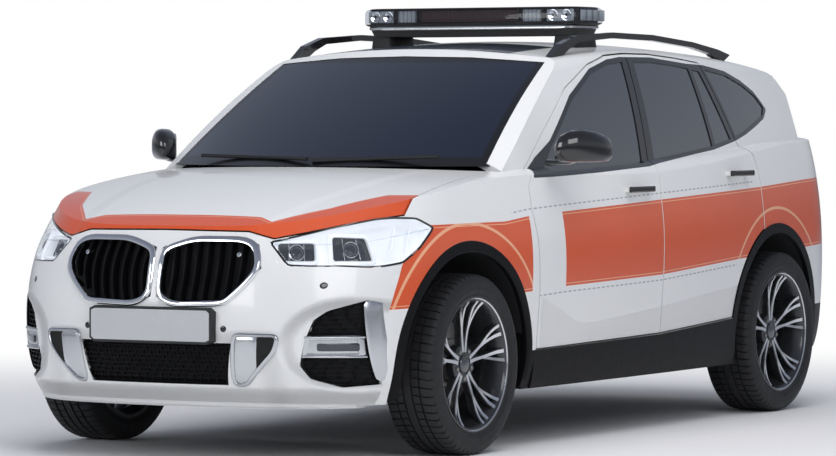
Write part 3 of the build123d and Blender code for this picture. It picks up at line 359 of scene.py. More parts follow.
MATERIALS = [
    paint("paint_side", flank_livery),
    paint("paint_bonnet", bonnet_livery),
    paint("paint_roof", roof_livery),
    paint("paint_front", front_livery),
    paint("paint_plain"),
    plain("cladding", (0.005, 0.005, 0.006), 0.42, bump=0.1, bump_scale=1400, spec=0.12),
    plain("gloss_black", (0.008, 0.008, 0.009), 0.10, coat=1.0),
    plain("matte_black", (0.014, 0.014, 0.015), 0.55, bump=0.25, bump_scale=1600),
    plain("satin", (0.62, 0.63, 0.65), 0.22, metal=1.0, vary=0.03),
    plain("chrome", (0.82, 0.83, 0.85), 0.06, metal=1.0, vary=0.02),
    plain("alloy_dark", (0.045, 0.047, 0.052), 0.28, metal=0.6, coat=0.6),
    plain("alloy_bright", (0.70, 0.71, 0.73), 0.16, metal=1.0, bump=0.06, bump_scale=2200),
    plain("alloy_cap", (0.10, 0.105, 0.115), 0.20, metal=0.8, coat=0.8),
    plain("tyre_rubber", (0.010, 0.010, 0.011), 0.62, bump=0.3),
    plain("steel", (0.30, 0.29, 0.28), 0.34, metal=1.0, bump=0.15, bump_scale=600),
    plain("chassis", (0.03, 0.03, 0.032), 0.5, bump=0.3, bump_scale=300),
    plain("cabin", (0.022, 0.022, 0.024), 0.5, bump=0.3, bump_scale=1200),
    plain("cloth", (0.035, 0.036, 0.04), 0.85, bump=0.6, bump_scale=1500),
    tinted("screen", (0.10, 0.11, 0.14), (0.007, 0.012, 0.026), 0.95, 0.025, 0.4, border=True),
    tinted("side_glass", (0.16, 0.18, 0.22), (0.012, 0.015, 0.022), 0.88, 0.16),
    tinted("lens", (0.93, 0.95, 0.97), (0.5, 0.5, 0.5), 0.04),
    tinted("smoke", (0.80, 0.82, 0.85), (0.05, 0.05, 0.055), 0.06, 0.02, 0.4),
    # painted shade: a near-black for the shaded inside of openings, on the grilles' backs and the air
    # slots
    plain("void", (0.004, 0.004, 0.0045), 0.75),
    plain("plate", (0.52, 0.53, 0.54), 0.35, bump=0.05, bump_scale=1800),
    plain("lamp_glass", (0.022, 0.028, 0.038), 0.06, coat=1.0),
    plain("lamp_bowl", (0.90, 0.91, 0.93), 0.20, coat=0.6, glow=((0.95, 0.97, 1.0), 0.25)),
    tail_lens(),
    plain("mirror", (0.75, 0.78, 0.80), 0.03, metal=1.0, vary=0.01),
    plain("bar_grey", (0.42, 0.45, 0.47), 0.25, coat=1.0),
    plain("bar_red", (0.045, 0.002, 0.003), 0.30, coat=0.3),
    plain("bar_lens", (0.20, 0.21, 0.22), 0.12, coat=1.0),
]
# a name that the frame has taken already has a number behind a dot
LOOKS = {material.name.split(".")[0]: material for material in MATERIALS}
NODE_LOOKS = {
    "paint_side": "front_left_door front_right_door rear_left_door rear_right_door front_wings "
    "body_sides rear_bumper",
    "paint_bonnet": "bonnet",
    "paint_roof": "roof",
    "paint_front": "front_bumper",
    "paint_plain": "tailgate",
    "side_glass": "front_left_door_glass front_right_door_glass rear_left_door_glass "
    "rear_right_door_glass quarter_glass tailgate_glass",
    "screen": "windscreen",
    "lens": "headlights",
    "gloss_black": "left_mirror right_mirror roof_rails",
    "cladding": "arch_cladding",
    "matte_black": "wheel_liners wipers floor_pan rear_apron",
    "satin": "grilles",
    "red_lens": "tailgate_lamps tail_lamps",
    "chassis": "engine_block front_suspension rear_suspension rear_springs front_left_knuckle "
    "front_right_knuckle",
    "steel": "exhaust",
    "cabin": "dashboard steering_wheel",
    "cloth": "front_seats rear_seat",
    "bar_lens": "light_bar",
    "tyre_rubber": "front_left_tyre front_right_tyre rear_left_tyre rear_right_tyre",
    "alloy_dark": "front_left_wheel front_right_wheel rear_left_wheel rear_right_wheel",
}
for look, names in NODE_LOOKS.items():
    for name in names.split():
        NODES[name].data.materials.clear()
        NODES[name].data.materials.append(LOOKS[look])



# ---------------------------------------------------------------- mesh helpers


class Form:
    """A mesh put together from rings of points."""

    def __init__(self, place=Vector):
        self.mesh = bmesh.new()
        self.place = place

    def ring(self, points):
        return [self.mesh.verts.new(self.place(Vector(point))) for point in points]

    def face(self, corners, look=0):
        corners = list(dict.fromkeys(corners))
        if len(corners) > 2:
            self.mesh.faces.new(corners).material_index = look

    def bridge(self, one, other, look=0, closed=True):
        for i in range(len(one) if closed else len(one) - 1):
            j = (i + 1) % len(one)
            self.face((one[i], one[j], other[j], other[i]), look)

    def loft(self, rings, look=0, caps=True, around=False):
        """Faces between rings of equal length. The look is a number, or one for each step."""
        made = [self.ring(points) for points in rings]
        pairs = list(zip(made, made[1:])) + ([(made[-1], made[0])] if around else [])
        looks = look if isinstance(look, list) else [look] * len(pairs)
        for (one, other), step_look in zip(pairs, looks):
            self.bridge(one, other, step_look)
        if caps and not around:
            self.face(made[0], looks[0])
            self.face(made[-1], looks[-1])
        return made

    def fill(self, edge, centre, rings, look=0):
        """Closes a ring with rings that shrink towards a centre point."""
        for points in rings:
            made = self.ring(points)
            self.bridge(edge, made, look)
            edge = made
        tip = self.ring([centre])[0]
        for i, corner in enumerate(edge):
            self.face((corner, edge[(i + 1) % len(edge)], tip), look)

    def turned(self, profile, sides, look=0, middle=(0.0, 0.0), caps=False):
        """A profile of (along X, radius) pairs turned about an axis along X."""
        self.loft([[(x, *p) for p in circle(sides, radius, middle)] for x, radius in profile], look, caps)

    def rod(self, path, radius, look=0, sides=10):
        """A round rod along a path of points."""
        path = [Vector(point) for point in path]
        rings = []
        for i, point in enumerate(path):
            ahead = (path[min(i + 1, len(path) - 1)] - path[max(i - 1, 0)]).normalized()
            across = ahead.cross(Vector((0.13, 0.21, 0.97))).normalized()
            other = ahead.cross(across)
            rings.append([point + (across * c + other * s) * radius for c, s in circle(sides, 1.0)])
        self.loft(rings, look)

    def box(self, low, high, look=0, edge=0.002):
        """A block with its edges along X cut off and its ends drawn in."""
        (x0, y0, z0), (x1, y1, z1) = low, high
        section = [(y0 + edge, z0), (y1 - edge, z0), (y1, z0 + edge), (y1, z1 - edge)]
        section += [(y1 - edge, z1), (y0 + edge, z1), (y0, z1 - edge), (y0, z0 + edge)]
        my, mz = (y0 + y1) / 2, (z0 + z1) / 2
        ky, kz = 1 - 2 * edge / (y1 - y0), 1 - 2 * edge / (z1 - z0)
        end = [(my + (y - my) * ky, mz + (z - mz) * kz) for y, z in section]
        stations = ((x0, end), (x0 + edge, section), (x1 - edge, section), (x1, end))
        self.loft([[(x, y, z) for y, z in outline] for x, outline in stations], look)

    def block(self, middle, size, look=0, edge=0.002):
        """A box given by its middle and size."""
        low = [m - s / 2 for m, s in zip(middle, size)]
        high = [m + s / 2 for m, s in zip(middle, size)]
        self.box(low, high, look, edge)

    def show(self, name, looks, slot, stands_for="", body="body", sharp=38, rounds=0):
        """Makes the piece, with its materials, and lets it ride on a body."""
        bmesh.ops.recalc_face_normals(self.mesh, faces=self.mesh.faces)
        data = bpy.data.meshes.new(name)
        self.mesh.to_mesh(data)
        self.mesh.free()
        for polygon in data.polygons:
            polygon.use_smooth = True
        for look in looks.split():
            data.materials.append(LOOKS[look])
        piece = bpy.data.objects.new(name, data)
        bpy.context.scene.collection.objects.link(piece)
        if rounds:
            modifier = piece.modifiers.new("rounds", "SUBSURF")
            modifier.levels = modifier.render_levels = rounds
        else:
            data.set_sharp_from_angle(angle=radians(sharp))
        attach(piece, body)
        if stands_for:
            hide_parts(stands_for)
        return piece


def smooth_table(rows, place, column=1):
    """A column of a table at a place in its first column, on a smooth curve through the rows."""
    place = min(max(place, rows[0][0]), rows[-1][0])
    k = max(i for i in range(len(rows) - 1) if rows[i][0] <= place)
    spots = [rows[min(max(k + i, 0), len(rows) - 1)] for i in (-1, 0, 1, 2)]
    x0, x1 = spots[1][0], spots[2][0]
    y0, y1 = spots[1][column], spots[2][column]
    t = (place - x0) / (x1 - x0)
    tangents = []
    for a, b in ((spots[0], spots[2]), (spots[1], spots[3])):
        tangents.append((b[column] - a[column]) / (b[0] - a[0]) * (x1 - x0))
    value = (2 * t**3 - 3 * t**2 + 1) * y0 + (3 * t**2 - 2 * t**3) * y1
    return value + (t**3 - 2 * t**2 + t) * tangents[0] + (t**3 - t**2) * tangents[1]


def circle(count, radius, middle=(0.0, 0.0)):
    turn = [2 * pi * i / count for i in range(count)]
    return [(middle[0] + radius * cos(a), middle[1] + radius * sin(a)) for a in turn]


def upright(outline, y):
    """An outline of (X, Z) points, at one Y."""
    return [(x, y, z) for x, z in outline]


def rectangle(x0, z0, x1, z1):
    return [(x0, z0), (x1, z0), (x1, z1), (x0, z1)]


def smooth(points, radius, count):
    """A closed outline with rounded corners, as evenly spaced points."""
    points, loop = [Vector(p) for p in points], []
    for i, corner in enumerate(points):
        before, after = points[i - 1] - corner, points[(i + 1) % len(points)] - corner
        a = corner + before.normalized() * min(radius, before.length * 0.48)
        b = corner + after.normalized() * min(radius, after.length * 0.48)
        loop += [a.lerp(corner, t).lerp(corner.lerp(b, t), t) for t in (0, 0.2, 0.4, 0.6, 0.8, 1)]
    loop.append(loop[0])
    steps = [(b - a).length for a, b in zip(loop, loop[1:])]
    out, k, done = [], 0, 0.0
    for i in range(count):
        goal = sum(steps) * i / count
        while done + steps[k] < goal:
            done += steps[k]
            k += 1
        out.append(loop[k].lerp(loop[k + 1], (goal - done) / steps[k]))
    return out


def grown(points, gap):
    """A closed outline moved out by a gap, or in where it is negative."""
    points = [Vector(p) for p in points]
    area = sum(a.cross(b) for a, b in zip(points, points[1:] + points[:1]))
    out = []
    for i, here in enumerate(points):
        one = (here - points[i - 1]).normalized()
        two = (points[(i + 1) % len(points)] - here).normalized()
        normal = Vector((one.y + two.y, -one.x - two.x)) / max(1 + one.dot(two), 0.4)
        out.append(here + normal * (gap if area > 0 else -gap))
    return out


def crossings(points, axis, level):
    """The lowest and highest value of the other axis where an outline crosses a level, or None."""
    found = []
    for a, b in zip(points, points[1:] + points[:1]):
        if (a[axis] - level) * (b[axis] - level) < 0:
            share = (level - a[axis]) / (b[axis] - a[axis])
            found.append(a[1 - axis] + (b[1 - axis] - a[1 - axis]) * share)
    return (min(found), max(found)) if len(found) > 1 else None


def mirrored(points, side):
    """The points as they are for the left side, and mirrored for the right side."""
    return [Vector((side * p[0], p[1])) for p in points]


def patch(form, outline, steps, surface, look=0, fill=True, rings=3):
    """A raised or sunk panel on a surface. Each step is the (growth, height) of an edge ring."""
    edges = [[surface(*p, proud) for p in grown(outline, gap)] for gap, proud in steps]
    made = form.loft(edges, look, caps=False)
    if fill:
        gap, proud = steps[-1]
        last = grown(outline, gap)
        centre = sum(last, Vector((0, 0))) / len(last)
        shares = [1 - k / (rings + 1) for k in range(1, rings + 1)]
        shrunk = [[surface(*(centre + (p - centre) * share), proud) for p in last] for share in shares]
        form.fill(made[-1], surface(*centre, proud), shrunk, look)


def panel(name, outline, steps, surface, looks, slot, stands_for="", body="body", **shape):
    """A piece that is one patch."""
    form = Form()
    patch(form, outline, steps, surface, **shape)
    form.show(name, looks, slot, stands_for, body)


# ---------------------------------------------------------------- the body's surfaces
# columns: height at the nose, half width, nose Y, radius of the front corner
NOSE = [
    (0.200, 0.855, -2.120, 0.500), (0.330, 0.884, -2.205, 0.520), (0.520, 0.897, -2.225, 0.540),
    (0.698, 0.905, -2.200, 0.590), (0.815, 0.893, -2.160, 0.640), (0.905, 0.868, -2.110, 0.660),
]
NOSE_RADIUS, SIDE_RADIUS = 2.3, 25.0


def front_corner(z):
    """The middle and radius of the front corner's arc at a height, and the middle X of the side's arc."""
    half, front, corner = (smooth_table(NOSE, z, column) for column in (1, 2, 3))
    middle, side = front + NOSE_RADIUS, half - SIDE_RADIUS
    r1, r2, span = NOSE_RADIUS - corner, SIDE_RADIUS - corner, hypot(side, middle)
    along = (span**2 + r1**2 - r2**2) / (2 * span)
    off = sqrt(r1**2 - along**2)
    dx, dy = side / span, -middle / span
    spots = [(dx * along + s * off * dy, middle + dy * along - s * off * dx) for s in (1, -1)]
    cx, cy = min(spots, key=lambda spot: spot[1])
    return cx, cy, corner, side


def nose(x, z, proud=0.0):
    """A point on the front of the body, moved forwards by proud."""
    cx, cy, corner, _ = front_corner(z)
    wide, middle = abs(x), smooth_table(NOSE, z, 2) + NOSE_RADIUS
    if wide <= cx * NOSE_RADIUS / (NOSE_RADIUS - corner):
        y = middle - sqrt(NOSE_RADIUS**2 - wide**2)
    else:
        y = cy - sqrt(max(corner**2 - (wide - cx) ** 2, 0))
    return Vector((x, y - proud, z))


def flank(y, z, proud=0.0):
    """A point on the left side of the body ahead of the middle, moved outwards by proud."""
    cx, cy, corner, side = front_corner(z)
    if y >= cy * SIDE_RADIUS / (SIDE_RADIUS - corner):
        x = side + sqrt(SIDE_RADIUS**2 - y**2)
    else:
        x = cx + sqrt(max(corner**2 - (y - cy) ** 2, 0))
    return Vector((x + proud, y, z))


def catcher(*names):
    """A ray catcher over CAD nodes."""
    corners, faces = [], []
    for name in names:
        mesh, first = NODES[name].data, len(corners)
        corners += [v.co.copy() for v in mesh.vertices]
        faces += [[first + i for i in polygon.vertices] for polygon in mesh.polygons]
    return BVHTree.FromPolygons(corners, faces)


REAR_NODES = "tailgate tailgate_glass tailgate_lamps tail_lamps rear_bumper rear_apron body_sides"
REAR = catcher(*REAR_NODES.split())
ROOF = catcher("roof", "body_sides", "windscreen")


def rear(x, z, proud=0.0):
    """A point on the tail, moved backwards by proud."""
    hit = REAR.ray_cast(Vector((x, 4, z)), Vector((0, -1, 0)))[0]
    return Vector((x, hit.y + proud, z))


# ---------------------------------------------------------------- wheels
TREAD_GROOVES, GROOVE_DEPTH = (-0.052, -0.018, 0.018, 0.052), 0.007
PITCHES, SIPE_DEPTH, RIB_HALF = 64, 0.0055, 0.022
# (along the axle, radius): the tyre's side from the bead up, its shoulder and its inner face
TYRE_SIDE = [
    (0.0985, 0.244), (0.102, 0.25), (0.1062, 0.258), (0.1068, 0.262), (0.1052, 0.264), (0.1098, 0.278),
    (0.1116, 0.286), (0.1108, 0.288), (0.1124, 0.296), (0.111, 0.31), (0.106, 0.323),
]
SHOULDER = [(0.1015, 0.332), (0.096, 0.3365), (0.086, 0.3395)]
TYRE_INSIDE = [
    (-0.0845, 0.244), (-0.0985, 0.296), (-0.09, 0.322), (0.0, 0.329), (0.09, 0.322), (0.0985, 0.296),
    (0.0845, 0.244),
]
# (distance from the axle, along the axle) of the spokes' face
DISH = [(0.0, 0.054), (0.07, 0.053), (0.15, 0.058), (0.215, 0.075), (0.238, 0.092), (0.252, 0.0985)]
# a spoke's two kinds of leg: (radius, offset) points along each, and its width at each
SPOKES = 5
SPOKE_MAIN = (
    [(0.045, 0.008), (0.095, 0.015), (0.14, 0.024), (0.195, 0.03), (0.25, 0.036)],
    (0.021, 0.017, 0.016, 0.016, 0.022),
)
SPOKE_BRANCH = (
    [(0.128, 0.022), (0.16, 0.036), (0.2, 0.056), (0.245, 0.077)],
    (0.012, 0.014, 0.015, 0.021),
)
# a leg's section: (share of its width, depth)
SPOKE_SECTION = [
    (-0.36, 0.0), (0.36, 0.0), (0.5, -0.004), (0.44, -0.02), (0.22, -0.032), (-0.22, -0.032),
    (-0.44, -0.02), (-0.5, -0.004),
]
RIM_HALF, BOLT_CIRCLE = 0.1045, 0.056
# (along the axle, radius): the hub with its cap, and the brake disc
HUB = [
    (0.018, 0.058), (0.018, 0.076), (0.036, 0.078), (0.048, 0.074), (0.053, 0.068), (0.053, 0.04),
    (0.05, 0.036), (0.05, 0.034), (0.056, 0.033), (0.059, 0.03), (0.0605, 0.018), (0.061, 0.0005),
]
DISC = [
    (-0.034, 0.062), (-0.034, 0.156), (-0.033, 0.158), (-0.026, 0.158), (-0.026, 0.15), (-0.021, 0.15),
    (-0.021, 0.158), (-0.013, 0.158), (-0.012, 0.156), (-0.012, 0.096), (-0.006, 0.092), (-0.004, 0.06),
]


def tyre(place):
    """A tyre with round grooves and slanted sipes, as one profile repeated round the axle."""
    tread = list(SHOULDER)
    for groove in TREAD_GROOVES[::-1]:
        crown = TYRE_R - 0.0018 * (groove / SHOULDER[-1][0]) ** 2
        tread += [(groove + 0.0045, crown), (groove + 0.0032, crown - GROOVE_DEPTH)]
        tread += [(groove - 0.0032, crown - GROOVE_DEPTH), (groove - 0.0045, crown)]
    tread += [(-x, r) for x, r in SHOULDER[::-1]]
    profile = TYRE_SIDE + tread + [(-x, r) for x, r in TYRE_SIDE[::-1]] + TYRE_INSIDE
    tread_range = range(len(TYRE_SIDE), len(TYRE_SIDE) + len(tread))
    rings = []
    for pitch in range(PITCHES):
        for fraction, sipe in ((0.0, 0.0), (0.80, 0.0), (0.84, SIPE_DEPTH), (0.96, SIPE_DEPTH)):
            ring = []
            for index, (x, r) in enumerate(profile):
                in_tread = index in tread_range
                r -= sipe if in_tread and abs(x) > RIB_HALF else 0.0
                slant = 3.5 * abs(x) if in_tread else 0.12
                angle = 2 * pi * (pitch + fraction + slant) / PITCHES
                ring.append((x, r * cos(angle), r * sin(angle)))
            rings.append(ring)
    form = Form(place)
    form.loft(rings, around=True)
    return form


def spoke_leg(form, turn, lean, path, widths):
    """One leg of a spoke: a machined face over dark flanks that taper inwards."""
    steps = 3
    rows = [(i, r, off, w) for i, ((r, off), w) in enumerate(zip(path, widths))]
    rings = []
    for k in range(steps * (len(path) - 1) + 1):
        sample = k / steps
        r, off, width = (smooth_table(rows, sample, column) for column in (1, 2, 3))
        ahead, back = ([smooth_table(rows, sample + step, c) for c in (2, 1)] for step in (0.1, -0.1))
        along = Vector([a - b for a, b in zip(ahead, back)]).normalized()
        front = smooth_table(DISH, hypot(r, off)) + 0.002
        ring = []
        for across, deep in SPOKE_SECTION:
            y = lean * (off + along.y * across * width)
            z = r - along.x * across * width
            ring.append((front + deep, y * cos(turn) - z * sin(turn), y * sin(turn) + z * cos(turn)))
        rings.append(ring)
    made = form.loft(rings)
    for one, other in zip(made, made[1:]):
        face = next(f for f in one[0].link_faces if one[1] in f.verts and other[0] in f.verts)
        face.material_index = 1


def wheel(place):
    """A rim with its hub, brake disc, double spokes and bolts.

    The looks, by number: dark alloy, machined alloy, steel and the cap.
    """
    form = Form(place)
    w = RIM_HALF
    barrel = [(-w, 0.26), (-w, 0.242), (0.024 - w, 0.234), (0.044 - w, 0.222)]
    barrel += [(w - 0.06, 0.222), (w - 0.034, 0.232), (w - 0.014, 0.237)]
    lip = [(w - 0.01, 0.24), (w - 0.003, 0.246), (w, 0.25), (w, 0.258), (w - 0.003, 0.26)]
    lip += [(w - 0.006, 0.258), (w - 0.006, 0.244)]
    outside = [(w - 0.036, 0.244), (w - 0.044, 0.236), (w - 0.062, 0.229), (0.046 - w, 0.229)]
    outside += [(0.028 - w, 0.244), (0.006 - w, 0.244), (0.006 - w, 0.26), (-w, 0.26)]
    profile = barrel + lip + outside
    machined = len(barrel) + 1
    form.turned(profile, 96, [int(step == machined) for step in range(len(profile) - 1)])
    form.turned(HUB, 60, [0] * 7 + [3] * 4)
    form.turned([(-0.04, 0.0005), (-0.04, 0.062), (0.018, 0.062)], 40, 2)
    form.turned(DISC, 96, 2)
    for k in range(SPOKES):
        turn = 2 * pi * k / SPOKES
        for lean in (-1, 1):
            spoke_leg(form, turn, lean, *SPOKE_MAIN)
            spoke_leg(form, turn, lean, *SPOKE_BRANCH)
        a = turn + pi / SPOKES + pi / 2
        middle = (BOLT_CIRCLE * cos(a), BOLT_CIRCLE * sin(a))
        for sides, radius, x0, x1, look in ((20, 0.013, 0.04, 0.0545, 0), (6, 0.0095, 0.05, 0.06, 2)):
            bolt = [(x0, radius), (x1 - 0.002, radius), (x1, radius * 0.82)]
            form.turned(bolt, sides, look, middle, caps=True)
    return form


for end, axle in (("front", FRONT_AXLE_Y), ("rear", REAR_AXLE_Y)):
    for side, hand in TAG.items():
        place = lambda p, s=side, y=axle: Vector((s * (TRACK + p.x), y + s * p.y, TYRE_R + p.z))
        body = f"{end}_{hand}_wheel"
        tyre(place).show(f"{end}_{hand}_tyre_tread", "tyre_rubber", "tyre", f"{end}_{hand}_tyre", body)
        looks = "alloy_dark alloy_bright steel alloy_cap"
        wheel(place).show(f"{end}_{hand}_rim", looks, "alloy", body, body, sharp=30)

# ---------------------------------------------------------------- front: kidneys, intakes, plate
KIDNEY = [
    (0.013, 0.795), (0.142, 0.836), (0.346, 0.836), (0.404, 0.808), (0.43, 0.722), (0.385, 0.661),
    (0.326, 0.605), (0.297, 0.586), (0.078, 0.579), (0.012, 0.614),
]
KIDNEY_FRAME = [
    (0.003, -0.012), (0.003, 0.004), (-0.001, 0.009), (-0.009, 0.011), (-0.017, 0.008), (-0.02, 0.002),
    (-0.023, -0.045),
]
SLATS = 8
# a slat's section: (along X, backwards)
SLAT_SECTION = [
    (-0.0055, 0.008), (-0.004, 0.001), (0, -0.002), (0.004, 0.001), (0.0055, 0.008), (0.004, 0.036),
    (-0.004, 0.036),
]
LOWER_GRILLE = [(0.3, 0.292), (0.33, 0.448), (-0.33, 0.448), (-0.3, 0.292)]
SIDE_INTAKE = [
    (0.572, 0.368), (0.593, 0.462), (0.618, 0.535), (0.656, 0.567), (0.756, 0.604), (0.788, 0.593),
    (0.796, 0.457), (0.79, 0.33), (0.775, 0.293), (0.683, 0.285), (0.599, 0.319),
]
MESH_BAR = 0.004
BLADE = [
    (0.75, 0.598), (0.762, 0.603), (0.788, 0.593), (0.796, 0.457), (0.791, 0.345), (0.779, 0.303),
    (0.768, 0.305), (0.76, 0.44),
]
CROSSBAR = [(0.58, 0.398), (0.752, 0.394), (0.75, 0.477), (0.592, 0.477)]
CROSSBAR_EDGES = [[(0.584, 0.402), (0.756, 0.398)], [(0.592, 0.472), (0.754, 0.47)]]
FOG_SLOT = [(0.628, 0.421), (0.742, 0.419), (0.742, 0.449), (0.628, 0.449)]
AIR_FRAME = [(0.336, 0.484), (0.513, 0.482), (0.498, 0.418), (0.376, 0.287), (0.322, 0.287)]
AIR_WALL = [(0.35, 0.474), (0.432, 0.474), (0.424, 0.356), (0.374, 0.298), (0.332, 0.298)]
AIR_HOLE = [(0.43, 0.474), (0.503, 0.473), (0.489, 0.422), (0.422, 0.35)]


def kidney(side):
    """A kidney's metal frame, and its back in painted shade with slats and a small eye in the top corner.
    """
    outline = smooth(mirrored(KIDNEY, side), 0.045, 96)
    name = f"kidney_frame_{TAG[side]}"
    panel(name, outline, KIDNEY_FRAME, nose, "chrome", "satin_metal", "grilles", fill=False)
    inner = grown(outline, -0.021)
    form = Form()
    # the back: a near-black sheet of painted shade for the shaded inside behind the slats
    patch(form, inner, [(0.002, -0.046)], nose, look=1, rings=5)
    low, high = min(p.x for p in inner), max(p.x for p in inner)
    for k in range(SLATS):
        x = low + (high - low) * (k + 0.55) / SLATS
        bottom, top = crossings(inner, 0, x)
        rings = []
        for i in range(9):
            z = bottom - 0.002 + (top - bottom + 0.004) * i / 8
            lean = side * 0.012 * sin(pi * i / 8)
            y = nose(x, z).y + 0.006 + 0.01 * abs(i / 4 - 1) ** 3
            rings.append([(x + lean + across, y + back, z) for across, back in SLAT_SECTION])
        form.loft(rings)
    eye = circle(16, 0.009, (side * 0.335, 0.772))
    patch(form, eye, [(0.0, -0.03), (0.0, 0.0), (-0.002, 0.002)], nose, look=2, rings=1)
    form.show(f"kidney_slats_{TAG[side]}", "cladding void satin", "gloss_black", "grilles")


def mesh_panel(name, outline, pitch_x, pitch_z, deep):
    """A mesh of staggered cells behind an opening, over a back in painted shade."""
    form = Form()
    # the back: a near-black sheet of painted shade for the shaded inside behind the mesh
    patch(form, outline, [(0.0, -0.002), (0.0, -deep - 0.02)], nose, look=1, rings=4)
    low, high = min(p.y for p in outline), max(p.y for p in outline)
    half = MESH_BAR / 2
    section = [(0, half), (-MESH_BAR * 0.3, 0), (0, -half), (0.008, -half), (0.008, half)]
    for row in range(int((high - low) / pitch_z) + 1):
        z = low + pitch_z * (row + 0.5)
        span = crossings(outline, 1, z)
        if not span:
            continue
        start, end = span
        pieces = max(2, round((end - start) / 0.05))
        rings = []
        for i in range(pieces + 1):
            here = nose(start + (end - start) * i / pieces, z, -deep)
            rings.append([here + Vector((0, dy, dz)) for dy, dz in section])
        form.loft(rings)
        x = start + pitch_x * (0.5 if row % 2 else 1.0)
        while x < end - MESH_BAR:
            y = nose(x, z, -deep).y
            top = min(z + pitch_z, high) + half
            form.box((x - half, y - 0.001, z - half), (x + half, y + 0.008, top), edge=half * 0.4)
            x += pitch_x
    form.show(name, "cladding void", "gloss_black", "grilles")


def side_intake(side):
    """A side intake's mesh, its metal blade with a crossbar, and the fog lamp in the crossbar."""
    tag = TAG[side]
    mesh_panel(f"side_mesh_{tag}", smooth(mirrored(SIDE_INTAKE, side), 0.02, 60), 0.04, 0.0175, 0.016)
    form = Form()
    blade = smooth(mirrored(BLADE, side), 0.01, 48)
    patch(form, blade, [(0.0, -0.03), (0.001, 0.001), (-0.004, 0.005)], nose)
    crossbar = smooth(mirrored(CROSSBAR, side), 0.01, 40)
    steps = [(0.0, -0.028), (0.0, -0.004), (-0.003, 0.0), (-0.014, -0.002), (-0.016, -0.008)]
    patch(form, crossbar, steps, nose)
    for edge in CROSSBAR_EDGES:
        start, end = mirrored(edge, side)
        form.rod([nose(*start.lerp(end, i / 8), 0.0015) for i in range(9)], 0.0045)
    form.show(f"intake_blade_{tag}", "satin", "satin_metal", "grilles")
    slot = smooth(mirrored(FOG_SLOT, side), 0.006, 40)
    steps = [(0.001, -0.012), (0.0, -0.003), (-0.002, -0.001)]
    panel(f"fog_lamp_{tag}", slot, steps, nose, "lamp_glass", "lamp_clear", "grilles", rings=2)


def air_frame(side):
    """The metal frame beside the centre intake, its inner wall and its slot in painted shade."""
    form = Form()
    ring = smooth(mirrored(AIR_FRAME, side), 0.028, 72)
    steps = [(0.002, -0.003), (0.002, 0.006), (-0.002, 0.01), (-0.009, 0.01), (-0.012, 0.006)]
    patch(form, ring, steps + [(-0.013, 0.0015)], nose, fill=False)
    wall = smooth(mirrored(AIR_WALL, side), 0.012, 40)
    patch(form, wall, [(0.0, 0.0), (0.0, 0.003), (-0.002, 0.004)], nose)
    form.show(f"air_frame_{TAG[side]}", "satin", "satin_metal", "grilles")
    # the slot: a near-black patch of painted shade, standing proud of the bumper where the hole is
    hole = smooth(mirrored(AIR_HOLE, side), 0.016, 40)
    steps = [(0.002, 0.0005), (0.0, 0.0022)]
    panel(f"air_slot_{TAG[side]}", hole, steps, nose, "void", "matte_black", "grilles")


def front_lip():
    """The painted lower edge of the bumper, which stands out most in the middle."""
    half = 0.7
    form = Form()
    rings = []
    for i in range(41):
        x = half * (i / 20 - 1)
        fade = 1 - abs(x / half) ** 4
        y = nose(x, 0.225).y
        section = [
            (-0.002 - 0.01 * fade, 0.206), (-0.008 - 0.01 * fade, 0.214), (-0.006 - 0.004 * fade, 0.226),
            (0.004, 0.236), (0.03, 0.236), (0.06, 0.206),
        ]
        rings.append([(x, y + dy, z) for dy, z in section])
    form.loft(rings)
    form.show("front_lip", "paint_front", "paint")


def blank_plate(name, body, y, z, facing):
    """A plain number plate in its holder."""
    flat = lambda x, z, proud=0.0: Vector((x, y + facing * proud, z))
    outline = smooth(rectangle(-0.26, z - 0.0575, 0.26, z + 0.0575), 0.01, 64)
    steps = [(0.01, -0.03), (0.01, 0.0), (0.008, 0.002), (0.001, 0.002)]
    panel(f"{name}_holder", outline, steps, flat, "matte_black", "matte_black", body=body, rings=1)
    steps = [(0.0, 0.0015), (0.0, 0.0045), (-0.001, 0.0052), (-0.004, 0.0052), (-0.005, 0.0044)]
    panel(name, outline, steps, flat, "plate", "paint", body=body, rings=2)


def sensors():
    """The round parking sensors on both bumpers."""
    form = Form()
    for surface, x, z in ((nose, 0.3, 0.5), (nose, 0.64, 0.66), (rear, 0.25, 0.56), (rear, 0.62, 0.56)):
        for side in TAG:
            ring = circle(20, 0.011, (side * x, z))
            patch(form, ring, [(0.001, -0.004), (0.001, 0.0008), (-0.001, 0.0022)], surface, rings=1)
    form.show("parking_sensors", "gloss_black", "gloss_black")


# ---------------------------------------------------------------- front wheel openings
# the black edging's section: (radius round the axle, proud)
ARCH_SECTION = [
    (0.466, -0.014), (ARCH_OUTER, 0.001), (0.463, 0.0038), (0.426, 0.0038), (0.4225, 0.001),
    (ARCH_INNER, -0.016),
]
SILL_FOOT = [(-0.945, 0.223), (-0.884, 0.223), (-0.884, 0.371), (-0.902, 0.371)]
CORNER_FRONT_Y, CORNER_LOW, CORNER_HIGH = -1.868, 0.2145, 0.545


def on_side(side):
    return lambda p: Vector((side * p.x, p.y, p.z))


def arch_trim(side):
    """The black edging of a front wheel opening, with a foot on the sill behind it."""
    form = Form(on_side(side))
    rings = []
    for i in range(65):
        angle = radians(-15.0 + 210.0 * i / 64)
        ring = []
        for radius, proud in ARCH_SECTION:
            z = max(TYRE_R + radius * sin(angle), 0.2232)
            ring.append(flank(FRONT_AXLE_Y + radius * cos(angle), z, proud))
        rings.append(ring)
    form.loft(rings)
    foot = smooth(SILL_FOOT, 0.004, 40)
    patch(form, foot, [(0.0, -0.014), (0.0, 0.002), (-0.002, 0.0036)], flank, rings=2)
    form.show(f"front_arch_trim_{TAG[side]}", "cladding", "gloss_black")


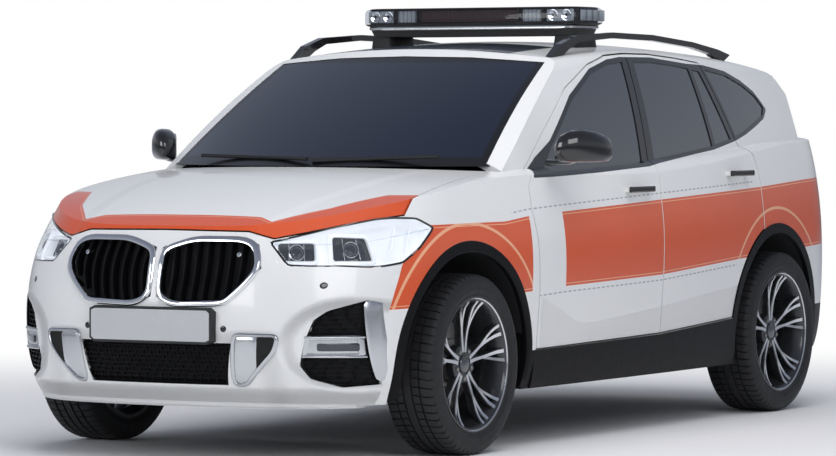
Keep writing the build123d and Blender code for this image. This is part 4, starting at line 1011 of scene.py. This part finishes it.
def bumper_corner(side):
    """The body-coloured corner of the bumper ahead of a front wheel opening."""
    form = Form(on_side(side))
    rings = []
    for i in range(15):
        z = CORNER_LOW + (CORNER_HIGH - CORNER_LOW) * i / 14
        edge_y = FRONT_AXLE_Y - sqrt(0.4665**2 - (TYRE_R - z) ** 2)
        ys = [edge_y + (CORNER_FRONT_Y - edge_y) * k / 5 for k in range(6)]
        rings.append([flank(y, z, -0.0004) for y in ys] + [flank(y, z, -0.012) for y in ys[::-1]])
    form.loft(rings)
    form.show(f"bumper_corner_{TAG[side]}", "paint_plain", "paint")


# ---------------------------------------------------------------- headlights
LAMP_HEADING = radians(-52)
OUTWARD = Vector((cos(LAMP_HEADING), sin(LAMP_HEADING), 0))
ALONG = Vector((-sin(LAMP_HEADING), cos(LAMP_HEADING), 0))
LAMP_EDGE = [
    (0.449, -2.117, 0.817), (0.548, -2.071, 0.84), (0.638, -2.008, 0.865), (0.713, -1.934, 0.885),
    (0.76, -1.868, 0.898), (0.793, -1.804, 0.902), (0.831, -1.701, 0.899), (0.848, -1.605, 0.862),
    (0.833, -1.69, 0.789), (0.808, -1.772, 0.738), (0.773, -1.843, 0.727), (0.736, -1.903, 0.723),
    (0.665, -1.983, 0.728), (0.578, -2.052, 0.729), (0.505, -2.094, 0.733),
]
LAMP_SKIN, LAMP_MIDDLE = catcher("headlights"), Vector((-0.64, 0.812))
# the corners of the two lamp units, as (along ALONG, Z) points
LAMP_UNITS = [
    [(-0.922, 0.746), (-0.785, 0.744), (-0.785, 0.812), (-0.92, 0.812)],
    [(-0.722, 0.744), (-0.57, 0.742), (-0.596, 0.828), (-0.722, 0.834)],
]
UNIT_FRAME = [
    (0.013, -0.05), (0.013, -0.008), (0.01, -0.004), (0.002, -0.004), (0.0, -0.007), (-0.003, -0.034),
]
LENS_RIM = [(0.004, -0.036), (0.004, -0.022), (0.0, -0.02), (-0.001, -0.024)]
LAMP_SEAL = [(0.003, -0.01), (0.003, -0.0005), (0.0, 0.0006), (-0.004, -0.0006), (-0.005, -0.006)]
LAMP_LENS = [(-0.004, -0.0012), (-0.006, 0.0004), (-0.02, 0.0008)]


def lamp_surface(side):
    """The surface of a headlight's cover: the point at (along ALONG, Z), moved outwards by proud."""

    def surface(along, z, proud=0.0):
        hit, spot, steps = None, Vector((along, z)), 0
        while hit is None or hit.dot(OUTWARD) < 1.6:
            near = spot.lerp(LAMP_MIDDLE, 0.005 * steps)
            start = OUTWARD * 2.6 + ALONG * near.x + Vector((0, 0, near.y))
            hit = LAMP_SKIN.ray_cast(start, -OUTWARD)[0]
            steps += 1
        point = ALONG * along + OUTWARD * (hit.dot(OUTWARD) + proud)
        return Vector((side * point.x, point.y, z))

    return surface


def lamp_units(tag, surface):
    """Both lamp units of a headlight: a dark back, a lens in its rim, and two upright rods."""
    form = Form()
    for corners in LAMP_UNITS:
        corners = [Vector(corner) for corner in corners]
        back = smooth(corners, 0.012, 40)
        patch(form, back, [(-0.001, -0.03), (-0.004, -0.036)], surface, rings=2)
        lens = circle(24, 0.026, sum(corners, Vector((0, 0))) / 4)
        patch(form, lens, LENS_RIM, surface, look=1, fill=False)
        patch(form, lens, [(0.0, -0.026), (-0.006, -0.017), (-0.014, -0.012)], surface, look=2, rings=2)
        for share in (0.3, 0.7):
            low, high = corners[0].lerp(corners[1], share), corners[3].lerp(corners[2], share)
            form.rod([surface(*low.lerp(high, 0.08 + 0.84 * k / 5), -0.028) for k in range(6)], 0.0022, 1)
    form.show(f"headlight_units_{tag}", "lamp_glass satin lamp_glass", "lamp_clear", "headlights")


def headlight(side):
    """A headlight's bright bowl, its two units, its black seal and its clear cover."""
    tag, surface = TAG[side], lamp_surface(side)
    outline = smooth([(Vector(p).dot(ALONG), p[2]) for p in LAMP_EDGE], 0.012, 90)
    form = Form()
    patch(form, outline, [(-0.002, -0.002), (-0.006, -0.05)], surface, rings=5)
    for corners in LAMP_UNITS:
        patch(form, smooth(corners, 0.012, 48), UNIT_FRAME, surface, fill=False)
    for start in (-0.5, -0.44, -0.385):
        path = [surface(start + 0.022 * k / 6, 0.775 + 0.085 * k / 6, -0.018) for k in range(7)]
        form.rod(path, 0.0035)
    form.show(f"headlight_bowl_{tag}", "lamp_bowl", "lamp_clear", "headlights")
    lamp_units(tag, surface)
    looks = ("gloss_black", "gloss_black", "headlights")
    panel(f"headlight_seal_{tag}", outline, LAMP_SEAL, surface, *looks, fill=False)
    looks = ("lens", "lamp_clear", "headlights")
    panel(f"headlight_lens_{tag}", outline, LAMP_LENS, surface, *looks, rings=5)


# ---------------------------------------------------------------- light bar
BAR_FRONT, BAR_REAR = 0.139, 0.409
FOOT_X, FOOT_Y = 0.435, 0.275
# the bar from above is a stack of (height, half width, inset, corner radius) outlines
BAR_BASE = [
    (1.6, 0.47, 0.035, 0.06), (1.602, 0.482, 0.018, 0.06), (1.626, 0.492, 0.012, 0.06),
    (1.63, 0.494, 0.011, 0.06),
]
BAR_STRIP = [
    (1.628, 0.493, 0.0105, 0.06), (1.631, 0.5, 0.007, 0.06), (1.639, 0.5, 0.007, 0.06),
    (1.643, 0.496, 0.01, 0.06),
]
BAR_FLOOR = [(1.642, 0.5, 0.01, 0.07), (1.65, 0.517, 0.003, 0.07), (1.653, 0.518, 0.002, 0.07)]
BAR_CORE = [(1.651, 0.505, 0.03, 0.05), (1.716, 0.505, 0.03, 0.05)]
BAR_COVER = [
    (1.652, 0.518, 0.001, 0.07), (1.66, 0.52, 0.0, 0.07), (1.7, 0.52, 0.0, 0.07),
    (1.709, 0.516, 0.004, 0.07), (1.716, 0.506, 0.012, 0.06),
]
BAR_LID = [(1.7145, 0.5, 0.012, 0.06), (1.718, 0.494, 0.018, 0.06), (1.719, 0.48, 0.03, 0.05)]
# (radius, how far it stands out) of the round reflectors
REFLECTOR = [(0.024, 0.005), (0.024, 0.009), (0.021, 0.0095), (0.014, 0.0065), (0.006, 0.006)]
CELLS_HALF, CELLS_LOW, CELLS_HIGH, CELLS_MIDDLE = 0.236, 1.657, 1.71, 1.6835


def bar_rings(stack):
    rings = []
    for z, half, inset, corner in stack:
        outline = smooth(rectangle(-half, BAR_FRONT + inset, half, BAR_REAR - inset), corner, 96)
        rings.append([(*point, z) for point in outline])
    return rings


def foot_ring(side, half, height=None):
    """An outline of a foot of the bar, just under the roof's surface where no height is given."""
    ring = []
    for x, y in smooth(rectangle(-half, -0.06, half, 0.06), 0.02, 32):
        above = Vector((side * FOOT_X + x, FOOT_Y + y * 1.7, 2))
        on_roof = ROOF.ray_cast(above, Vector((0, 0, -1)))[0].z - 0.002
        ring.append((above.x, above.y, height or on_roof))
    return ring


def bar_housing():
    """The base, the floor and the lid of the bar, its feet, and the metal strip round the base."""
    form = Form()
    for stack in (BAR_BASE, BAR_FLOOR, BAR_LID):
        form.loft(bar_rings(stack))
    for side in TAG:
        form.loft([foot_ring(side, 0.056), foot_ring(side, 0.05, 1.594), foot_ring(side, 0.045, 1.606)])
    form.show("bar_housing", "matte_black", "matte_black", "light_bar")
    form = Form()
    form.loft(bar_rings(BAR_STRIP))
    form.show("bar_strip", "satin", "satin_metal", "light_bar")


def side_modules(form, y, facing):
    """On both sides of a face of the bar: an inner block with ribs and an outer one with reflectors."""
    for side in TAG:
        for low, high, reflectors in ((0.25, 0.345, 0), (0.362, 0.486, 2)):
            x0, x1 = sorted((side * low, side * high))
            form.box((x0, y - 0.006, 1.658), (x1, y + 0.006, 1.709), 1, edge=0.003)
            count = reflectors or 5
            for k in range(count):
                x = x0 + (x1 - x0) * (k + 0.5) / count
                if reflectors:
                    cup = [(circle(20, r, (x, CELLS_MIDDLE)), y + facing * out) for r, out in REFLECTOR]
                    form.loft([upright(*ring) for ring in cup], 2)
                else:
                    form.block((x, y + facing * 0.0075, CELLS_MIDDLE), (0.0024, 0.004, 0.047), 2, 0.0005)


def bar_modules():
    """The lamps inside the bar. The looks, by number: black, grey, chrome and red."""
    form = Form()
    form.loft(bar_rings(BAR_CORE))
    for facing, y in ((-1, 0.1665), (1, 0.3815)):
        side_modules(form, y, facing)
        form.box((-CELLS_HALF, y - 0.006, CELLS_LOW), (CELLS_HALF, y + 0.006, CELLS_HIGH), 3, edge=0.003)
        grid_y = y + facing * 0.006
        for k in range(1, 36):
            x = CELLS_HALF * (k / 18 - 1)
            form.block((x, grid_y, CELLS_MIDDLE), (0.0018, 0.003, 0.051), edge=0.0004)
        for k in range(1, 5):
            z = CELLS_LOW + (CELLS_HIGH - CELLS_LOW) * k / 5
            form.block((0, grid_y, z), (0.47, 0.003, 0.0018), edge=0.0004)
    for side in TAG:
        for k in range(4):
            form.block((side * 0.505, 0.217 + 0.053 * k, 1.683), (0.008, 0.044, 0.046), 1)
    form.show("bar_modules", "matte_black bar_grey chrome bar_red", "bar_lens", "light_bar")


def bar_cover():
    """The smoked band round the bar and the black seams in it."""
    form = Form()
    form.loft(bar_rings(BAR_COVER), caps=False)
    form.show("bar_lens", "smoke", "bar_lens", "light_bar")
    form = Form()
    for x in (-0.352, -0.242, 0.242, 0.352):
        for y in (BAR_FRONT + 0.0065, BAR_REAR - 0.0065):
            form.block((x, y, 1.6825), (0.006, 0.011, 0.059), edge=0.001)
    form.show("bar_seams", "matte_black", "matte_black", "light_bar")


# ---------------------------------------------------------------- mirrors
# columns: X, Y and Z of a section's middle, its depth and its height
MIRROR = [
    (0.893, -0.722, 1.128, 0.050, 0.040), (0.900, -0.720, 1.136, 0.094, 0.086),
    (0.918, -0.712, 1.146, 0.128, 0.116), (0.950, -0.692, 1.153, 0.146, 0.132),
    (0.985, -0.662, 1.154, 0.148, 0.132), (1.015, -0.630, 1.149, 0.132, 0.120),
    (1.037, -0.602, 1.141, 0.100, 0.096), (1.0475, -0.588, 1.135, 0.060, 0.060),
    (1.0500, -0.584, 1.132, 0.026, 0.028),
]
MIRROR_ARM = [
    (0.845, -0.712, 1.092, 0.060, 0.026), (0.880, -0.708, 1.092, 0.052, 0.022),
    (0.905, -0.700, 1.094, 0.046, 0.022), (0.930, -0.690, 1.100, 0.056, 0.030),
    (0.950, -0.684, 1.106, 0.064, 0.030),
]
MIRROR_GLASS = [(0.922, 1.106), (0.918, 1.198), (1.01, 1.2), (1.036, 1.15), (1.016, 1.104)]


def bulged(share):
    """A share from -1 to 1 pushed outwards, which turns a circle into a rounded square."""
    return copysign(abs(share) ** 0.72, share)


def mirror(side):
    """A door mirror: its shell with a flat back and an arm, and the glass in its rim."""
    tag, body = TAG[side], f"front_{TAG[side]}_door"
    form = Form(on_side(side))
    rings = []
    for x, y, z, depth, height in MIRROR:
        ring = []
        for c, s in circle(28, 1.0):
            dy = min(bulged(c) * depth / 2, depth * 0.36)
            dz = bulged(s) * height / 2 * (1.0 if s > 0 else 0.92)
            ring.append((x, y + dy, z + dz))
        rings.append(ring)
    form.loft(rings)
    rings = []
    for x, y, z, depth, height in MIRROR_ARM:
        rings.append([(x, y + depth / 2 * c, z + height / 2 * s) for c, s in circle(20, 1.0)])
    form.loft(rings)
    form.show(f"mirror_shell_{tag}", "gloss_black", "gloss_black", f"{tag}_mirror", body, sharp=50)
    form = Form(on_side(side))
    outline = smooth(MIRROR_GLASS, 0.02, 40)
    flat = lambda x, z, proud=0.0: Vector((x, -0.6515 + (x - 0.93) * 0.9 + proud, z))
    rim = [(0.002, -0.006), (0.002, 0.003), (0.0, 0.004), (-0.002, 0.002)]
    patch(form, outline, rim, flat, fill=False)
    patch(form, outline, [(-0.001, 0.0015)], flat, look=1, rings=1)
    form.show(f"mirror_glass_{tag}", "matte_black mirror", "gloss_black", f"{tag}_mirror", body)


# ---------------------------------------------------------------- seats
PAD_U, PAD_V = 26, 18
TUNNEL_HALF = 0.128
BACK_LEAN = radians(90 - 14)


def pad(name, cad, middle, size, lean, seams, crown=0.02):
    """A stuffed pad that pulls in at its edges, with sewn seams across its front and piping."""
    form = Form()
    turn, half = Matrix.Rotation(lean, 3, "X"), Vector(size) / 2

    def point(u, v, front):
        edge = max(abs(u), abs(v))
        high = half.z * (0.35 + 0.65 * sqrt(1 - edge**6))
        sewn = max(exp(-(((v - seam) / 0.035) ** 2)) for seam in seams)
        stuffed = high + crown * (1 - u * u) * (1 - v * v) - 0.007 * sewn * (1 - edge**4)
        x, y = bulged(sin(u * pi / 2)) * half.x, bulged(sin(v * pi / 2)) * half.y
        return Vector(middle) + turn @ Vector((x, y, stuffed if front else -high))

    edges = []
    for front in (True, False):
        grid = []
        for j in range(PAD_V + 1):
            v = 2 * j / PAD_V - 1
            grid.append(form.ring([point(2 * i / PAD_U - 1, v, front) for i in range(PAD_U + 1)]))
        for one, other in zip(grid, grid[1:]):
            form.bridge(one, other, closed=False)
        there, back = [row[-1] for row in grid[:-1]], [row[0] for row in grid[:0:-1]]
        edges.append(grid[0][:-1] + there + grid[-1][:0:-1] + back)
    form.bridge(*edges)
    path = [corner.co.copy() for corner in edges[0]]
    piece = form.show(name, "cloth", "seat_cloth", cad, rounds=1)
    piping = Form()
    for one, other in zip(path, path[1:] + path[:1]):
        reach = (other - one) * 0.025
        piping.rod([one - reach, other + reach], 0.0035, sides=6)
    piping.show(f"{name}_piping", "cabin", "cabin_plastic")


def seat(name, cad, x, width, y, headrests):
    """A seat with its cushion, back, headrests and base. A base across the tunnel is in two halves."""
    cushion = (x, y + 0.255, 0.555), (width, 0.5, 0.13)
    pad(f"{name}_cushion", cad, *cushion, radians(4), (-0.45, 0.05, 0.5))
    back = (x, y + 0.545, 0.86), (width, 0.64, 0.12)
    pad(f"{name}_back", cad, *back, BACK_LEAN, (-0.5, -0.1, 0.3, 0.65))
    form = Form()
    for number, rest_x in enumerate(headrests):
        headrest = (rest_x, y + 0.655, 1.235), (0.25, 0.17, 0.09)
        pad(f"{name}_headrest_{number}", cad, *headrest, BACK_LEAN, (0.0,), crown=0.01)
        for rod_x in (rest_x - 0.05, rest_x + 0.05):
            form.rod([(rod_x, y + 0.62, 1.11), (rod_x, y + 0.65, 1.19)], 0.006, 1)
    half = width / 2 - 0.06
    spans = [(x - half, x + half)] if x else [(-half, -TUNNEL_HALF), (TUNNEL_HALF, half)]
    for x0, x1 in spans:
        form.box((x0, y + 0.06, 0.296), (x1, y + 0.46, 0.5), edge=0.012)
    form.show(f"{name}_base", "cabin steel", "cabin_plastic")


# ---------------------------------------------------------------- rear
REFLECTOR_STRIP = [(0.47, 0.505), (0.7, 0.512), (0.7, 0.537), (0.47, 0.53)]
# (along Y, radius)
EXHAUST_TIP = [
    (2.15, 0.037), (2.192, 0.0372), (2.198, 0.0395), (2.199, 0.0425), (2.196, 0.0445), (2.186, 0.045),
    (2.15, 0.044),
]
WIPER_ARM = [(0.0, 1.172), (0.08, 1.185), (0.18, 1.196), (0.3, 1.204), (0.4, 1.206)]
WIPER_BLADE = [(0.05, 1.18), (0.15, 1.191), (0.27, 1.199), (0.42, 1.204)]


def rear_bumper_details():
    """Red reflectors, exhaust tips and the fins under the bumper."""
    form = Form()
    for side in TAG:
        strip = smooth(mirrored(REFLECTOR_STRIP, side), 0.008, 40)
        patch(form, strip, [(0.001, -0.003), (0.001, 0.001), (-0.001, 0.002)], rear, rings=2)
    form.show("rear_reflectors", "red_lens", "lamp_red")
    form = Form()
    for side in TAG:
        middle = (side * 0.47, 0.306)
        form.loft([upright(circle(40, r, middle), y) for y, r in EXHAUST_TIP], caps=False)
    form.show("exhaust_tips", "chrome", "satin_metal")
    form = Form()
    for k in range(-3, 4):
        x = 0.075 * k
        low = (x - 0.004, rear(x, 0.262).y - 0.06, 0.258)
        form.box(low, (x + 0.004, rear(x, 0.34).y + 0.006, 0.345), edge=0.0015)
    form.show("diffuser_fins", "gloss_black", "gloss_black")


def tailgate_details():
    """The rear wiper and the grip above the plate."""
    form = Form()
    form.rod([rear(x, z, 0.014) for x, z in WIPER_ARM], 0.0055)
    form.rod([rear(x, z, 0.006) for x, z in WIPER_BLADE], 0.0035, 1)
    base = [(x * 0.022, 1.17 + z * 0.016) for x, z in circle(24, 1.0)]
    patch(form, base, [(0.002, -0.004), (0.002, 0.01), (-0.003, 0.018)], rear, rings=1)
    form.show("rear_wiper", "matte_black tyre_rubber", "matte_black", body="tailgate")
    grip = smooth(rectangle(-0.29, 0.955, 0.29, 0.975), 0.006, 48)
    steps = [(0.001, -0.004), (0.001, 0.006), (-0.003, 0.01)]
    panel("tailgate_grip", grip, steps, rear, "satin", "satin_metal", body="tailgate", rings=1)


# ---------------------------------------------------------------- all the pieces
for side in TAG:
    arch_trim(side)
    bumper_corner(side)
    kidney(side)
    side_intake(side)
    air_frame(side)
    headlight(side)
    mirror(side)
mesh_panel("centre_mesh", smooth(LOWER_GRILLE, 0.02, 60), 0.034, 0.0165, 0.01)
front_lip()
sensors()
bar_housing()
bar_modules()
bar_cover()
seat("driver_seat", "front_seats", 0.37, 0.5, -0.33, [0.37])
seat("passenger_seat", "front_seats", -0.37, 0.5, -0.33, [-0.37])
seat("bench", "rear_seat", 0.0, 1.18, 0.42, [-0.38, 0.0, 0.38])
rear_bumper_details()
tailgate_details()
blank_plate("front_plate", "body", -2.238, 0.5095, -1)
rear_plate_y = max(rear(x, z).y for x in (-0.25, 0.0, 0.25) for z in (0.82, 0.88, 0.93)) + 0.004
blank_plate("rear_plate", "tailgate", rear_plate_y, 0.875, 1)

# ---------------------------------------------------------------- floor, light and camera
# (height of the direction, colour) of the sky
SKY = [
    (0.0, (0.3, 0.31, 0.33)), (0.03, (0.36, 0.38, 0.42)), (0.1, (0.75, 0.78, 0.84)),
    (0.35, (0.45, 0.5, 0.62)), (0.9, (0.3, 0.33, 0.42)),
]
FOCAL_PIXELS, WIDTH_PIXELS, SENSOR = 4356.2, 836, 36.0
CAMERA_PLACE, CAMERA_SHIFT = (8.9087, -15.612, 1.3376), (-0.00897, 0.01487)
YAW, PITCH, ROLL = radians(-30.043), radians(-1.852), radians(-0.095)


def stage():
    """A light floor that turns plain white for the camera away from the vehicle."""
    mesh = bpy.data.meshes.new("floor")
    mesh.from_pydata([(-40, -40, 0), (40, -40, 0), (40, 40, 0), (-40, 40, 0)], [], [(0, 1, 2, 3)])
    floor = bpy.data.objects.new("floor", mesh)
    bpy.context.scene.collection.objects.link(floor)
    t = new_material("floor_paint")
    x, y, z = t.split(t.coords())
    far = t.slope(t.length(x, y), 1.6, 6.0, 0.0, 1.0)
    share = t.times(far, t.add("LightPath", out=0))
    glow = t.add("Emission", Color=(1, 1, 1, 1), Strength=1.0)
    base = t.principled((0.86, 0.86, 0.86), 0.65, vary=0.01, grain=0.5)
    mesh.materials.append(t.finish(t.add("MixShader", _0=share, _1=base, _2=glow)))
    floor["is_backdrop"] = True


def lamp(name, place, aim, size, power, reflected=True):
    """A flat rectangular lamp. One that is not reflected stays out of glossy reflections."""
    data = bpy.data.lights.new(name, "AREA")
    data.shape, data.energy = "RECTANGLE", power
    data.size, data.size_y = size
    item = bpy.data.objects.new(name, data)
    item.location = place
    item.rotation_euler = (Vector(aim) - Vector(place)).to_track_quat("-Z", "Y").to_euler()
    item.visible_glossy = reflected
    bpy.context.scene.collection.objects.link(item)


def studio():
    """White for the camera, and a soft sky for reflections and light."""
    world = bpy.data.worlds.new("studio")
    bpy.context.scene.world = world
    t = Tree(world, "OutputWorld")
    height = t.split(t.add("TexCoord", out=0))[2]
    sky = t.add("Background", Color=t.ramp(height, SKY), Strength=0.62)
    white = t.add("Background", Color=(1, 1, 1, 1), Strength=1.0)
    t.finish(t.add("MixShader", _0=t.add("LightPath", out=0), _1=sky, _2=white))


def camera():
    """The camera at the photo's angle."""
    forward = Vector((sin(YAW) * cos(PITCH), cos(YAW) * cos(PITCH), sin(PITCH)))
    right = forward.cross(Vector((0, 0, 1))).normalized()
    up = right.cross(forward)
    right, up = right * cos(ROLL) + up * sin(ROLL), up * cos(ROLL) - right * sin(ROLL)
    data = bpy.data.cameras.new("camera")
    data.sensor_width, data.lens = SENSOR, FOCAL_PIXELS / WIDTH_PIXELS * SENSOR
    data.shift_x, data.shift_y = CAMERA_SHIFT
    data.clip_end = 200
    item = bpy.data.objects.new("camera", data)
    rows = Matrix((right, up, -forward)).transposed()
    item.matrix_world = Matrix.Translation(CAMERA_PLACE) @ rows.to_4x4()
    bpy.context.scene.collection.objects.link(item)
    bpy.context.scene.camera = item


stage()
lamp("overhead", (1.6, -1.6, 6.5), (0, 0, 0.5), (6, 7), 330, reflected=False)
lamp("front_left", (7.5, -6.5, 4.5), (0, -0.6, 0.7), (5, 3.5), 165)
lamp("front", (-3.0, -10.5, 3.6), (0, -1.0, 0.7), (5, 3), 190)
lamp("rear", (-4.5, 9.0, 4.5), (0, 0.6, 0.8), (5, 3), 170, reflected=False)
studio()
camera()
bpy.context.scene.view_settings.view_transform = "Standard"
plain_lists = lambda value: [list(map(float, corner)) for corner in value]
{"cad": plain_lists(cad_bounds), "scene": plain_lists(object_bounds())}
